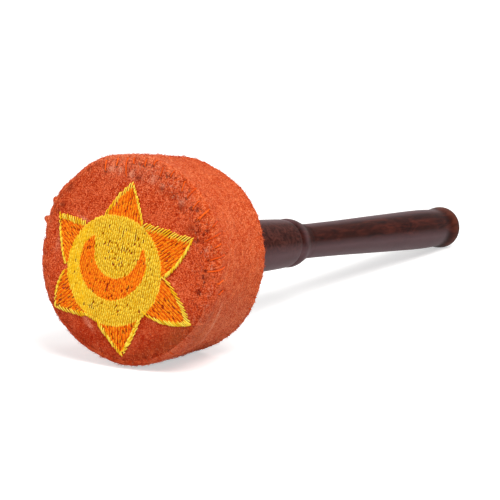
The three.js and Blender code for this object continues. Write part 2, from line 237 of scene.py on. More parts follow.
def feltFinish(name, tones, other=None, fleckSize=0.52, sheen=0.03, tint=(1, 0.72, 0.62, 1), stray=(234, 92, 22)):
    # tones: dark fleck, middle, light fleck, pale (pulled-through wool, pale patches and painted highlight), dark
    # hollow (pits and painted shade), brown low on the right
    # other: tones of the felt that this one turns into where the attribute "turned" is painted
    dark, middle, light, pale, hollow, stain = [rgb(*tone) for tone in tones]
    stops = (0.4, 0.5, 0.6)
    material, finish = newFinish(name)
    where = finish.place()
    fleck = finish.noise(where, fleckSize, 2, 0.6, 0.4)
    fibre = finish.noise(finish.place((1, 1, 0.35)), 0.7, 3, 0.7, 1.8)
    clump = finish.noise(where, 1.7, 2, 0.5, 0.5)
    cloud = finish.noise(where, 7, 3, 0.55)
    blotch = finish.noise(where, 2.4, 2, 0.55, 0.9)
    speck = finish.noise(where, 0.9, 1, 0.5)
    pit = finish.noise(where, 1.5, 2, 0.5, 0.8)
    tuft = finish.noise(finish.place((1.3, 1, 0.8)), 1.4, 2, 0.6, 1.2)
    rough = finish.attribute("rough")
    grain = fleck * 0.68 + fibre * 0.2 + clump * 0.12
    colour = finish.ramp(grain, *zip(stops, (dark, middle, light)))
    if other:
        turned = finish.ramp(grain, *zip(stops, [rgb(*tone) for tone in other]))
        colour = finish.blend(finish.attribute("turned") * (0.3 + clump * 1.2), colour, turned)
    low = finish.attribute("hollow") + rough * finish.within(pit, 0.55, 0.65) * 0.95
    high = finish.attribute("pale") * finish.within(grain, 0.36, 0.52) + rough * finish.within(tuft, 0.58, 0.68) * 0.48
    colour = finish.layered(
        colour,
        # painted shade: darker low down
        (finish.attribute("deep"), dark),
        (finish.within(cloud, 0.45, 0.7) * 0.16 + finish.within(blotch, 0.52, 0.68) * 0.12, light),
        (finish.within(cloud, 0.55, 0.32) * 0.16 + finish.within(blotch, 0.46, 0.3) * 0.2, dark),
        (finish.within(speck, 0.66, 0.74) * 0.5, hollow),
        (finish.within(speck, 0.33, 0.26) * 0.35, pale),
        (finish.attribute("stain") * (0.5 + cloud * 0.5), stain),
        ((rough * 0.7 + 0.3) * finish.within(fibre, 0.54, 0.64) * 0.58, rgb(*stray)),
        (low * (0.45 + fleck * 0.8), hollow),
        (high * (0.3 + fleck), pale),
    )
    relief = finish.bump(fleck * 0.6 + fibre * 0.4, 0.5, 0.8)
    surfaced(finish, Base_Color=colour, Roughness=0.93 + fibre * 0.06, Normal=relief,
             Sheen_Weight=sheen, Sheen_Roughness=0.45, Sheen_Tint=tint, Specular_IOR_Level=0.06)
    return material


def threadFinish(name, dark, middle, light):
    twist = 1.3  # millimetres of thread for each turn of its strands
    material, finish = newFinish(name)
    strands = finish.add("ShaderNodeUVMap", {"uv_map": "strand"})
    turn, run = [finish.add("ShaderNodeSeparateXYZ", {}, {0: strands}, output) for output in (0, 1)]
    phase = turn * 2 + run * (1 / twist)
    strand = finish.add("ShaderNodeMath", {"operation": "PINGPONG"}, {0: phase, 1: 0.5}) * 2
    fine = finish.noise(finish.place(), 0.25, 2, 0.6)
    # the tone's light end stands for the thread's glints: painted highlight
    colour = finish.ramp(finish.attribute("tone") * 0.8 + fine * 0.2,
                         (0.1, rgb(*dark)), (0.5, rgb(*middle)), (0.9, rgb(*light)))
    # painted shade in the grooves between the twisted strands
    colour = finish.blend(finish.within(strand, 0.3, 0.0) * 0.35, colour, rgb(*dark))
    surfaced(finish, Base_Color=colour, Roughness=0.42 + fine * 0.1, Normal=finish.bump(strand, 0.05, 0.6),
             Specular_IOR_Level=0.06)
    return material


def darkWoodFinish():
    material, finish = newFinish("dark_wood")
    figure = finish.noise(finish.place((1, 0.2, 1)), 5.0, 3, 0.56, 1.6)
    curl = finish.noise(finish.place((1, 0.7, 1)), 4.0, 3, 0.56, 2.4)
    streak = finish.noise(finish.place((1, 0.06, 1)), 1.5, 4, 0.65, 0.5)
    cloud = finish.noise(finish.place((1, 0.4, 1)), 13, 3, 0.6, 0.8)
    pores = finish.within(finish.noise(finish.place((1, 0.06, 1)), 0.45, 2, 0.5), 0.6, 0.72) * 0.5
    curly = finish.attribute("curly")
    grain = (figure * (1 - curly) + (curl * 0.6 + 0.2) * curly) * 0.62 + streak * 0.38
    colour = finish.layered(
        finish.ramp(grain, (0.36, rgb(27, 9, 8)), (0.5, rgb(49, 18, 14)), (0.65, rgb(80, 35, 27))),
        (finish.within(cloud, 0.42, 0.66) * 0.4, rgb(62, 27, 20)),
        (curly * finish.within(curl, 0.34, 0.68) * 0.62, rgb(90, 50, 44)),
        (pores, rgb(14, 6, 5)),
        # painted reflection: the pale sheen on the underside, the top edge and the bead
        (finish.attribute("wax") * (0.75 + cloud * 0.5), rgb(108, 83, 87)),
        # the knob painted a lighter red-brown
        (finish.attribute("worn") * (0.2 + figure), rgb(112, 56, 38)),
    )
    surfaced(finish, Base_Color=colour, Roughness=0.3 + streak * 0.1 + finish.attribute("dull") * 0.5,
             Normal=finish.bump(streak - pores, 0.12, 0.35), Specular_IOR_Level=0.012)
    return material


def paleWoodFinish():
    material, finish = newFinish("pale_wood")
    wave = finish.add("ShaderNodeTexWave", {"wave_type": "RINGS", "rings_direction": "Y"}, {
        "Vector": finish.place(), "Scale": 90, "Distortion": 3, "Detail": 3, "Detail Scale": 2})
    pore = finish.noise(finish.place((1, 0.1, 1)), 0.5, 3, 0.6)
    colour = finish.ramp(wave, (0.1, rgb(214, 180, 132)), (0.8, rgb(184, 144, 96)))
    colour = finish.blend(finish.within(pore, 0.58, 0.7) * 0.5, colour, rgb(140, 102, 62))
    surfaced(finish, Base_Color=colour, Roughness=0.62 + pore * 0.12, Normal=finish.bump(pore + wave * 0.4, 0.12, 0.5))
    return material


def zincFinish():
    material, finish = newFinish("zinc_steel")
    spangle = finish.add("ShaderNodeTexVoronoi", {}, {"Vector": finish.place(), "Scale": 1 / (1.6 * mm)}, "Color")
    scratch = finish.noise(finish.place((1, 8, 1)), 1.2, 4, 0.6)
    surfaced(finish, Base_Color=finish.blend(0.12, rgb(188, 190, 194), spangle), Metallic=1.0,
             Roughness=0.26 + scratch * 0.16, Normal=finish.bump(scratch, 0.02, 0.4))
    return material


faceTones = [(150, 24, 2), (200, 66, 20), (238, 124, 80), (243, 168, 134), (96, 18, 6), (112, 64, 32)]
sideTones = [(178, 46, 8), (208, 79, 30), (241, 136, 87), (244, 171, 136), (120, 30, 10), (150, 80, 44)]
paddingTones = [(206, 190, 168), (226, 214, 196), (238, 230, 216), (244, 238, 228), (180, 160, 138), (196, 176, 150)]

finishes = {
    "face_felt": feltFinish("face_felt", faceTones, sideTones),
    "side_felt": feltFinish("side_felt", sideTones, faceTones, sheen=0.05),
    "padding_felt": feltFinish("padding_felt", paddingTones, fleckSize=0.9, sheen=0.1, tint=(1, 1, 1, 1),
                               stray=(214, 196, 170)),
    "seam_thread": threadFinish("seam_thread", (184, 60, 16), (224, 82, 20), (243, 103, 32)),
    "yellow_thread": threadFinish("yellow_thread", (184, 118, 0), (246, 190, 16), (255, 232, 84)),
    "orange_thread": threadFinish("orange_thread", (204, 64, 0), (254, 119, 2), (255, 168, 30)),
    "dark_wood": darkWoodFinish(),
    "pale_wood": paleWoodFinish(),
    "zinc_steel": zincFinish(),
}
print("finishes made")

# Floor and surroundings


def setSurroundings():
    world = bpy.data.worlds.new("studio")
    bpy.context.scene.world = world
    world.use_nodes = True
    finish = Finish(world.node_tree)
    white = finish.within(finish.rays("Camera", "Glossy", "Transmission"), 0, 1)
    light = finish.add("ShaderNodeBackground", {}, {
        "Color": (1, 1, 1, 1), "Strength": white * (1 - studio["ambient"]) + studio["ambient"]})
    finish.add("ShaderNodeOutputWorld", {}, {"Surface": light})

    bpy.ops.mesh.primitive_plane_add(size=studio["floorSize"])
    floor = bpy.context.object
    floor.name = "floor"
    material, finish = newFinish("floor_white")
    place = finish.add("ShaderNodeTexCoord", output="Object")
    away = finish.within(finish.add("ShaderNodeVectorMath", {"operation": "LENGTH"}, {0: place}, 1), 0.25, 0.9)
    matt = finish.add("ShaderNodeBsdfDiffuse", {}, {"Color": (0.7, 0.7, 0.7, 1)})
    strength = finish.rays("Camera", "Glossy") * (studio["glow"] + away * (1 - studio["glow"]))
    glow = finish.add("ShaderNodeEmission", {}, {"Color": (1, 1, 1, 1), "Strength": strength})
    both = finish.add("ShaderNodeAddShader", {}, {0: matt, 1: glow})
    finish.add("ShaderNodeOutputMaterial", {}, {"Surface": both})
    floor.data.materials.append(material)


bpy.context.scene.view_settings.view_transform = "Standard"
setCamera()
setLamps()
setSurroundings()
print("camera, lamps and floor set")

# Making and laying down pieces


def spun(name, rows, steps):
    # rows of radius and place along the axis; an outline that closes on itself ends where it started
    bpy.ops.object.select_all(action="DESELECT")
    bpy.ops.mesh.primitive_circle_add(vertices=3, radius=0.01)
    piece = bpy.context.object
    piece.name = piece.data.name = name
    bpy.ops.object.mode_set(mode="EDIT")
    bpy.ops.mesh.select_all(action="SELECT")
    bpy.ops.mesh.merge(type="CENTER")
    bpy.ops.transform.translate(value=(rows[0][0], 0, rows[0][1]))
    for (radius, along), (nextRadius, nextAlong) in zip(rows, rows[1:]):
        step = (nextRadius - radius, 0, nextAlong - along)
        bpy.ops.mesh.extrude_vertices_move(TRANSFORM_OT_translate={"value": step})
    bpy.ops.mesh.select_all(action="SELECT")
    bpy.ops.mesh.remove_doubles(threshold=0.001)
    bpy.ops.mesh.spin(steps=steps, angle=math.tau, center=(0, 0, 0), axis=(0, 0, 1))
    bpy.ops.mesh.select_all(action="SELECT")
    bpy.ops.mesh.remove_doubles(threshold=0.001)
    bpy.ops.mesh.normals_make_consistent(inside=False)
    bpy.ops.object.mode_set(mode="OBJECT")
    piece.data.transform(Matrix.Rotation(-math.pi / 2, 4, "X"))
    return piece


def reshape(piece, move):
    for vertex in piece.data.vertices:
        vertex.co = move(vertex.co.copy())


def paint(piece, **shares):
    for name, share in shares.items():
        layer = piece.data.attributes.new(name, "FLOAT", "POINT")
        layer.data.foreach_set("value", [share(vertex.co) for vertex in piece.data.vertices])


def layDown(piece, slot, *nodes, smoothDegrees=60):
    piece.data.transform(malletFrame)
    bpy.ops.object.select_all(action="DESELECT")
    piece.select_set(True)
    bpy.context.view_layer.objects.active = piece
    bpy.ops.object.shade_smooth_by_angle(angle=math.radians(smoothDegrees))
    piece.data.materials.clear()
    piece.data.materials.append(finishes[slot])
    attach(piece, "root")
    if nodes:
        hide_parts(*nodes)
    return piece


def aboveFloor(piece):
    for vertex in piece.data.vertices:
        vertex.co.z = max(vertex.co.z, 0)


def smoothRows(rows, spacing):
    # rows through the given ones, each stretch eased by the slopes at its ends
    slopes = []
    for i, (along, radius) in enumerate(rows):
        before, after = rows[max(i - 1, 0)], rows[min(i + 1, len(rows) - 1)]
        left = (radius - before[1]) / (along - before[0]) if i else None
        right = (after[1] - radius) / (after[0] - along) if i < len(rows) - 1 else None
        if left is None or right is None:
            slopes.append(right if left is None else left)
        elif left * right <= 0:
            slopes.append(0)
        else:
            slopes.append(2 * left * right / (left + right))
    out = []
    for (start, low), (end, high), into, outOf in zip(rows, rows[1:], slopes, slopes[1:]):
        count = max(1, round((end - start) / spacing))
        for i in range(count):
            t = i / count
            span = end - start
            radius = ((2 * t**3 - 3 * t**2 + 1) * low + (t**3 - 2 * t**2 + t) * span * into
                      + (3 * t**2 - 2 * t**3) * high + (t**3 - t**2) * span * outOf)
            out.append((radius, start + t * span))
    out.append((rows[-1][1], rows[-1][0]))
    return out


# Handle

handle = {
    "steps": 128,
    # spacing of the rows in each stretch
    "stretches": {"barrel": 1.6, "bead": 0.35, "grip": 1.6, "end": 0.25},
    "tenon": [(0, 33.5), (1.2, 33.5), (2.3, 32.4), (2.3, 14.2), (3.0, 13.5), (6.4, 13.5), (7, 14.1), (7, 36.1),
              (9.6, 36.1), (10, 36.5)],
    # place along the axis and radius
    "barrel": [(36.5, 10.15), (49.8, 10.3), (60, 10.6), (75, 11.12), (90, 11.52), (103, 11.68), (112, 11.58),
               (119, 11.4), (123.5, 11.3), (127.5, 11.12), (129.4, 10.9)],
    "bead": [(129.4, 10.9), (130.1, 10.5), (130.8, 10.4), (131.6, 10.72), (132.8, 11.05), (134.4, 11.18),
             (136.2, 10.96), (138.7, 10.33), (141.6, 9.53), (144.5, 8.8), (147.5, 8.24), (150.5, 8.02)],
    "grip": [(150.5, 8.02), (155, 8.01), (167.5, 8.15), (182.9, 8.34), (198.9, 8.64), (215.3, 8.99), (232.2, 9.33),
             (249.6, 9.65), (261.5, 9.88), (270, 10.0), (278, 10.06), (286, 9.98), (291, 9.84), (294.5, 9.76),
             (297.2, 9.86), (299.6, 10.25), (302, 10.6), (304.6, 10.78)],
    "end": [(304.6, 10.78), (306.2, 10.66), (307.2, 10.2), (307.8, 9.3), (malletLength, 7.8)],
    "butt": 2.2,  # radius of the row inside the flat end
    # painted: middle, reach and strength
    "waxedBead": (134.5, 2, 0.4),
    "lighterKnob": (303, 4, 0.6),
    "dullStep": (144, 6, 0.45),
    "curlyEnd": (140, 16),  # where the curly figure stops, and over how much
    "waxEnd": (297, 6, 0.1),  # where the painted reflection stops, over how much, and its least share
}


def waxShare(place):
    # painted reflection: a pale sheen painted on the underside, a little on the top and on the bead, and hardly on the
    # knob
    radius = math.hypot(place.x, place.z)
    if radius < 0.5:
        return 0
    up = place.z / radius
    below, above = 0.8 * clamped((0.16 - up) / 0.45), 0.55 * clamped((up - 0.84) / 0.14)
    bead, reach, strength = handle["waxedBead"]
    end, over, least = handle["waxEnd"]
    return max(strength * fading(place.y - bead, reach), below + above) * min(1, max(least, (end - place.y) / over))


def makeHandle():
    rows = list(handle["tenon"])
    for stretch, spacing in handle["stretches"].items():
        rows += smoothRows(handle[stretch], spacing)[1:]
    rows += [(handle["butt"], malletLength), (0, malletLength)]
    piece = spun("handle_turned", rows, handle["steps"])
    knob, knobReach, knobStrength = handle["lighterKnob"]
    step, stepReach, stepStrength = handle["dullStep"]
    curly, over = handle["curlyEnd"]
    paint(piece, wax=waxShare,
          curly=lambda place: clamped((curly - place.y) / over),
          worn=lambda place: knobStrength * fading(place.y - knob, knobReach),
          dull=lambda place: stepStrength * fading(place.y - step, stepReach, 4))
    layDown(piece, "dark_wood", "handle", smoothDegrees=50)
    aboveFloor(piece)


makeHandle()
print("handle turned")

# Outline of the head

head = {
    "frontEdge": 3.0,
    "rearEdge": 41.4,
    "depth": 44.4,
    "felt": 3.0,
    "shoulder": 6.0,
    "hollow": 0.9,
    "steps": 480,
    "neck": 10.3,
    "discBack": 2.9,  # how far in a disc's inside is
    # between the rows on a disc's face, over its edge and on its inside, and on the strip's turned-in edges and wall
    "rowSpacing": {"face": 1.15, "edge": 0.42, "back": 4, "lap": 0.45, "wall": 0.62},
    # each end: its widest radius, the radius where the strip's turned-in edge meets the disc, a seed, and the
    # disc's broad lumps by size, depth and seed
    "front": {"widest": 42.5, "lap": 40.6, "seed": 21, "broad": [(17, 0.35, 3), (6, 0.12, 5)]},
    "rear": {"widest": 40.4, "lap": 38.2, "seed": 31, "broad": [(15, 0.35, 31)]},
}


def wallRadius(along):
    share = (along - head["frontEdge"]) / (head["rearEdge"] - head["frontEdge"])
    front, rear = head["front"]["widest"], head["rear"]["widest"]
    return front + (rear - front) * share - head["hollow"] * 4 * share * (1 - share)


# The outline from a disc over its edge and onto the wall, by the length along it. The length is 0 at the
# widest place, less on the disc and more on the wall.
class EdgeLine:
    inner = 20  # radius where the line starts
    wall = 19  # how far it goes along the wall
    steps = 40  # in each part of it

    def __init__(self, front, widest, lap, seed, broad):
        self.front, self.widest, self.lap, self.seed, self.broad = front, widest, lap, seed, broad
        self.inwards = 1 if front else -1
        self.flat = widest - head["shoulder"]
        self.stitches = []
        self.points = [(self.inner, 0)]
        for i in range(self.steps + 1):
            turn = i / self.steps * math.pi / 2
            self.points.append((self.flat + head["shoulder"] * math.sin(turn), head["felt"] * (1 - math.cos(turn))))
        zero = len(self.points) - 1
        for i in range(1, self.steps + 1):
            rise = head["felt"] + self.wall * i / self.steps
            self.points.append((wallRadius(self.fromFace(rise)), rise))
        lengths = [0]
        for (r0, y0), (r1, y1) in zip(self.points, self.points[1:]):
            lengths.append(lengths[-1] + math.hypot(r1 - r0, y1 - y0))
        self.lengths = [length - lengths[zero] for length in lengths]

    def fromFace(self, rise):
        # the place along the axis of what lies this far in from the disc's outside, and the other way round
        return rise if self.front else head["depth"] - rise

    def at(self, length):
        # radius, place along the axis and the outward direction as (radial, along)
        i = 1
        while i < len(self.lengths) - 1 and self.lengths[i] < length:
            i += 1
        (r0, y0), (r1, y1) = self.points[i - 1], self.points[i]
        share = (length - self.lengths[i - 1]) / (self.lengths[i] - self.lengths[i - 1])
        out = Vector((y1 - y0, r0 - r1)).normalized()
        return r0 + (r1 - r0) * share, self.fromFace(y0 + (y1 - y0) * share), (out.x, out.y * self.inwards)

    def lengthAt(self, radius):
        # on the disc side
        for (r0, _), (r1, _), l0, l1 in zip(self.points, self.points[1:], self.lengths, self.lengths[1:]):
            if r0 <= radius <= r1:
                return l0 + (l1 - l0) * (radius - r0) / (r1 - r0)
        return self.lengths[0]


frontLine = EdgeLine(True, **head["front"])
rearLine = EdgeLine(False, **head["rear"])


def polar(place):
    return math.degrees(math.atan2(place.z, place.x)) % 360


def apart(first, second):
    return (first - second + 180) % 360 - 180


def around(place, middle):
    # distance from the axis, and turn from the middle one
    return math.hypot(place.x, place.z), apart(polar(place), middle)


# Stitches over the edges

rimStitches = {
    "pitch": 7.5,
    "threadRadius": 0.29,
    # where they stand out: turn and length on the edge line of the inner end, then of the outer end
    "seen": [(346, 1.6, 348.2, 5.6), (352.2, -1.4, 354.2, 3.8), (358.2, -6.4, 361.5, 4.4), (4.8, -5.5, 7.8, 4.7),
             (11.8, -2.6, 13.9, 0.6), (16.0, -6.8, 19.8, 4.2), (22.8, -2.2, 26.0, 4.0),
             (29.9, -7.4, 33.4, 1.3), (29.2, -6.0, 32.2, -0.4), (37.0, -6.7, 39.2, -1.9), (44.8, -6.3, 46.5, 1.0),
             (50.0, -6.0, 53.2, -1.7), (61.2, -4.6, 61.8, -1.4), (67.2, -6.9, 68.4, -2.7), (74.2, -4.0, 73.6, -1.2),
             (79.5, -5.6, 80.2, -2.2), (87.2, -5.2, 87.9, -2.4), (92.6, -10.6, 92.3, -1.6), (99.8, -6.0, 99.0, -2.2),
             (108.4, -7.4, 106.8, -2.4)],
}


def rimLayout(line, seen, seed):
    # the stitches that stand out, and those that the felt has closed over
    rng = random.Random(seed)
    pitch = rimStitches["pitch"]
    stitches = []
    for inner, start, outer, end in seen:
        stitches.append({"inner": inner, "start": start, "outer": outer, "end": end, "tone": rng.uniform(0.35, 1),
                         "press": 0.16 + 0.3 * max(0, end) / 4, "proud": rng.uniform(0.3, 0.42), "pull": 0.9})
    turn = seen[-1][0] + pitch if seen else 3
    last = (seen[0][0] if seen else 363) - pitch * 0.6
    proud = (-0.45, -0.1) if line.front else (-0.05, 0.25)
    while turn < last:
        outer = turn + rng.uniform(-1.3, 1.3)
        stitches.append({"inner": outer - rng.uniform(0.5, 3.0), "start": -rng.uniform(2.4, 4.2), "outer": outer,
                         "end": rng.uniform(0.8, 2.2), "tone": rng.uniform(0.0, 0.35), "press": 0.2,
                         "proud": rng.uniform(*proud), "pull": rng.uniform(0.4, 0.9)})
        turn += pitch
    for stitch in stitches:
        stitch["run"] = Vector((math.radians(apart(stitch["outer"], stitch["inner"])) * line.widest,
                                stitch["end"] - stitch["start"]))
    return stitches


frontLine.stitches = rimLayout(frontLine, rimStitches["seen"], 11)
rearLine.stitches = rimLayout(rearLine, [], 12)


def besideStitch(line, stitch, turn, length):
    # share along the stitch, distance from it, and distances from its two ends
    place = Vector((math.radians(apart(turn, stitch["inner"])) * line.widest, length - stitch["start"]))
    run = stitch["run"]
    share = clamped(place.dot(run) / run.dot(run))
    return share, (place - run * share).length, place.length, (place - run).length


def drawnIn(line, turn, length):
    # how much the stitches draw the edge in at a place given by its turn and its length along the line
    depth = 0
    for stitch in line.stitches:
        if abs(apart(turn, stitch["outer"])) > 12:
            continue
        share, across, toInner, toOuter = besideStitch(line, stitch, turn, length)
        if across > 4:
            continue
        depth += stitch["press"] * math.sin(share * math.pi) * fading(across, 0.8)
        depth += 0.3 * stitch["pull"] * (fading(toInner, 0.9) + fading(toOuter, 0.8))
    return depth


def puffed(line, turn, length):
    # between stitches the felt stands a little proud
    nearest = min(abs(apart(turn, stitch["outer"])) for stitch in line.stitches)
    between = min(nearest / (rimStitches["pitch"] / 2), 1)
    return 0.11 * math.sin(between * math.pi / 2) ** 2 * fading(length - 0.6, 3.6)


def lumps(place, size, depth, seed):
    return depth * noise.noise(place / size + Vector((seed, seed * 1.7, seed * 0.3)))


def broadLumps(line, place):
    return sum(lumps(place, *broad) for broad in line.broad)


def faceSink(x, z, edge=True):
    # how far the face is from its flat, without stitch marks
    sink = broadLumps(frontLine, Vector((x, 0, z)))
    past = math.hypot(x, z) - frontLine.flat
    if past > 0 and edge:
        share = min(past / head["shoulder"], 1)
        sink += head["felt"] * (1 - math.sqrt(1 - share * share))
    return sink


# Where the head is drawn in or filled out: turn, place along the axis, move outwards, and how far it spreads
# in degrees and in millimetres
unevenness = [(96, 3, -0.8, 10, 9), (86, 21, 0.9, 18, 10), (64, 41, -0.75, 14, 10), (131, 3, -0.8, 8, 9),
              (172, 3, -1.05, 16, 12), (232, 3, -0.6, 14, 12), (254, 3, -0.7, 12, 10), (291, 20, 1.0, 15, 11),
              (345, 41, -0.8, 16, 12), (15, 41, -0.4, 10, 10)]


def uneven(place):
    steady, over = 24, 16  # within this radius nothing moves, and over how much more all of it does
    radius, turn = math.hypot(place.x, place.z), polar(place)
    if radius < steady:
        return place
    share = min(1, (radius - steady) / over) ** 2
    move = sum(out * math.exp(-((apart(turn, at) / spread) ** 2) - ((place.y - along) / reach) ** 2)
               for at, along, out, spread, reach in unevenness)
    return Vector((place.x, 0, place.z)) * (1 + move * share / radius) + Vector((0, place.y, 0))


# Embroidery's places in the face, right and up from its middle

embroidery = {
    "threadRadius": 0.22,
    "spacing": 0.49,
    "fillSpacing": 0.42,
    # tones of rows side by side, light rows as painted highlight and dark ones as painted shade between them, and the
    # share of each row's stitches left out
    "discRows": [(1.0, 0), (0.48, 0.05)],
    "fillRows": [(0.74, 0.05), (0.98, 0.02), (0.3, 0.34)],
    # how each field is stitched; a petal's lean is with its corners
    "fields": {
        "disc": {"lean": 80, "lengths": (1.1, 2.3), "ragged": 0.55, "height": 0.32, "seed": 71},
        "crescent": {"lean": 75, "lengths": (1.3, 2.7), "ragged": 0.6, "height": 0.32, "seed": 73},
        "petal": {"lengths": (1.6, 3.2), "ragged": 0.1, "height": 0.27},
    },
    # the petals' borders: how their stitches are laid and their tone; and where a lean is this nearly along its
    # side, the distance between the rows that follow the side instead
    "border": {"height": 0.5, "spread": 0.35, "thickness": 1.12, "wave": 0.1},
    "borderTone": 0.7,
    "follow": 0.96,
    "followSpacing": 0.42,
    "disc": (-5.1, -4.9, 22.3),
    "crescent": [(-14.8, 8.4), (-14.6, 3.5), (-14.5, 0), (-13.5, -3.0), (-11.3, -5.5), (-7.9, -7.4), (-4.5, -8.0),
                 (-1.0, -7.2), (2.1, -5.4), (4.6, -2.5), (6.7, 1.3), (8.3, 4.9), (9.5, 2.4), (10.0, -2.0), (9.4, -5.4),
                 (7.7, -8.6), (5.2, -11.5), (2.1, -14.0), (-1.2, -15.9), (-4.8, -16.9), (-8.6, -16.8), (-12.6, -15.5),
                 (-16.5, -13.2), (-19.1, -10.4), (-20.9, -7.3), (-21.6, -3.7), (-21.2, 0.2), (-19.8, 4.4),
                 (-17.6, 6.9)],
    # holes where the needle has parted the stitches: right, up, spreads, how many
    "discHoles": [(-3, 5.5, 11, 4.5, 44), (-3, -1, 11, 6, 24), (-4, -20, 12, 2.4, 14), (12, -6, 3, 9, 6),
                  (-4, 13, 12, 3, 4), (-24, -6, 1.5, 8, 2), (-16, -20, 4, 4, 3)],
    "crescentHoles": [(-5, -12, 12, 4, 20), (-17, -2, 3, 8, 8), (8, -4, 1.5, 4, 5), (-6, -16.2, 9, 1, 14),
                      (-15.5, -13, 3, 2, 6), (4, -12, 3.5, 2, 6)],
    # the disc's stitches are alike on the left: right of where that starts, over how much, and their tone
    "calm": (-14, 6, 0.62),
    # tip, first and second foot; how far each side bows out; the fill's lean; each side's stitches:
    # lean, spacing, width and raggedness
    "petals": [
        {"tip": (2.2, 30.9), "feet": [(8.2, 12.9), (-11.6, 15.0)], "bows": (0.02, 0.08), "lean": 83,
         "sides": [(100, 0.42, 0.9, 0.25), (74, 0.84, 2.0, 1.2)]},
        {"tip": (30.8, 10.7), "feet": [(18.6, -5.8), (8.8, 14.9)], "bows": (0.07, 0.01), "lean": 36,
         "sides": [(74, 0.5, 1.5, 0.5), (38, 0.98, 2.8, 1.3)]},
        {"tip": (31.4, -22.6), "feet": [(10.6, -21.0), (19.0, -5.6)], "bows": (0.1, 0.06), "lean": -40,
         "sides": [(-32, 0.62, 2.0, 0.6), (-32, 0.66, 2.4, 0.9)]},
        {"tip": (0.8, -38.9), "feet": [(-12.6, -25.9), (8.8, -21.9)], "bows": (0.03, 0.03), "lean": -88,
         "sides": [(-74, 0.78, 1.5, 0.9), (80, 0.8, 1.6, 1.0)]},
        {"tip": (-32.8, -22.3), "feet": [(-28.5, -5.9), (-13.5, -24.0)], "bows": (0.1, 0.06), "lean": 40,
         "sides": [(80, 0.42, 0.9, 0.25), (-44, 0.8, 1.9, 0.8)]},
        {"tip": (-32.9, 15.9), "feet": [(-17.6, 12.9), (-29.0, -4.0)], "bows": (0.02, 0.04), "lean": -45,
         "sides": [(-72, 0.84, 2.2, 0.9), (100, 0.42, 0.9, 0.25)]},
    ],
}

# Felt covers


def discRows(line, hole=0):
    # from the middle or the hole, over the face and the edge, and back on the inside
    spacing = head["rowSpacing"]
    rows = []
    radius = hole
    while radius < line.flat - 2:
        rows.append((radius, line.fromFace(0)))
        radius += spacing["face"]
    start, end = line.lengthAt(line.flat - 2), line.lengthAt(line.lap + 0.9)
    count = round((end - start) / spacing["edge"])
    for i in range(count + 1):
        radius, along, _ = line.at(start + (end - start) * i / count)
        # the edge goes under the strip
        rows.append((radius, along + line.inwards * 0.6 * max(0, (radius - line.lap + 0.4) / 1.3) ** 2))
    radius, along = rows[-1]
    inside = line.fromFace(head["discBack"])
    rows += [(radius + 0.05, along + line.inwards * 0.25), (radius - 0.3, line.fromFace(2.6)), (radius - 1.2, inside)]
    radius -= spacing["back"]
    while radius > hole + 2:
        rows.append((radius, inside))
        radius -= spacing["back"]
    rows.append((hole, inside))
    if hole:
        rows.append(rows[0])
    return rows


def discSink(line, place):
    # how far a disc's surface lies in from its outline there
    sink = broadLumps(line, place)
    sink += lumps(place, 2.2, 0.07, line.seed) + lumps(place, 1.0, 0.04, line.seed + 1)
    radius = math.hypot(place.x, place.z)
    if radius > line.widest - 12:
        turn, length = polar(place), line.lengthAt(min(radius, line.widest - 0.05))
        sink += drawnIn(line, turn, length) - puffed(line, turn, length)
    return sink


def shapeDisc(line):
    def move(place):
        if line.fromFace(place.y) < 2.3:
            place.y += line.inwards * discSink(line, place)
        return place

    return move


def spot(place, x, z, size, stretch, lean):
    # a soft spot in the face, longer along its lean
    dx, dz = place.x - x, place.z - z
    turn = math.radians(lean)
    run, rise = dx * math.cos(turn) + dz * math.sin(turn), dz * math.cos(turn) - dx * math.sin(turn)
    return math.exp(-((run / (size * stretch)) ** 2) - (rise / size) ** 2)


faceMarks = {
    # right, up, size, stretch, lean, strength
    # pale: wool pulled through at the rim, broad pale patches along the top, and a painted highlight on a soft fold
    # low on the left (the first mark)
    "pale": [(-16.4, -27.2, 0.8, 4, -46, 0.85), (-20.7, 14.6, 0.7, 3, -20, 0.7), (-8.9, 35.9, 1.0, 1.5, 20, 0.7),
             (-4.4, 35.8, 0.8, 1.5, 70, 0.7), (1.1, 34.4, 1.2, 1.4, 50, 0.9), (11.1, 32.7, 1.0, 1.2, 60, 0.7),
             (15.7, 30.7, 0.8, 1.2, 0, 0.6), (24.6, 25.1, 0.9, 1.4, 20, 0.8), (37, 7.1, 0.8, 1, 0, 0.6),
             (-33, 4, 1.2, 3, 80, 0.35), (-30, -15, 1.2, 2, 80, 0.3), (10, 36, 5, 1.6, -15, 0.2),
             (-6, 38, 5, 1.6, 15, 0.2), (27, 28, 4, 1.6, -40, 0.12)],
    "hollow": [(-28.5, 26.5, 1.2, 1.6, 40, 0.7), (-31.5, 19.5, 1.0, 1.4, 0, 0.9), (-33.5, 17, 0.9, 1, 0, 0.8),
               (4.3, 33.2, 1.1, 1, 0, 0.8), (24.5, 23.4, 1.2, 1.3, 30, 0.8), (30, 15, 2, 1.5, 40, 0.5),
               (33, 10.5, 1.1, 1.6, 10, 0.6), (21, 27, 1.5, 1.6, -20, 0.5), (34.5, -9.5, 1.0, 1.3, -20, 0.9),
               (37.5, -3.5, 1.4, 1.4, 0, 0.5), (15.5, 29, 1.4, 1, 0, 0.5)],
    # brown, low on the right of the face
    "stain": [(27, -27, 4.5, 1.7, 42, 0.6), (18, -33, 4, 2, 25, 0.35), (8, -37.5, 3, 2, 10, 0.3)],
}


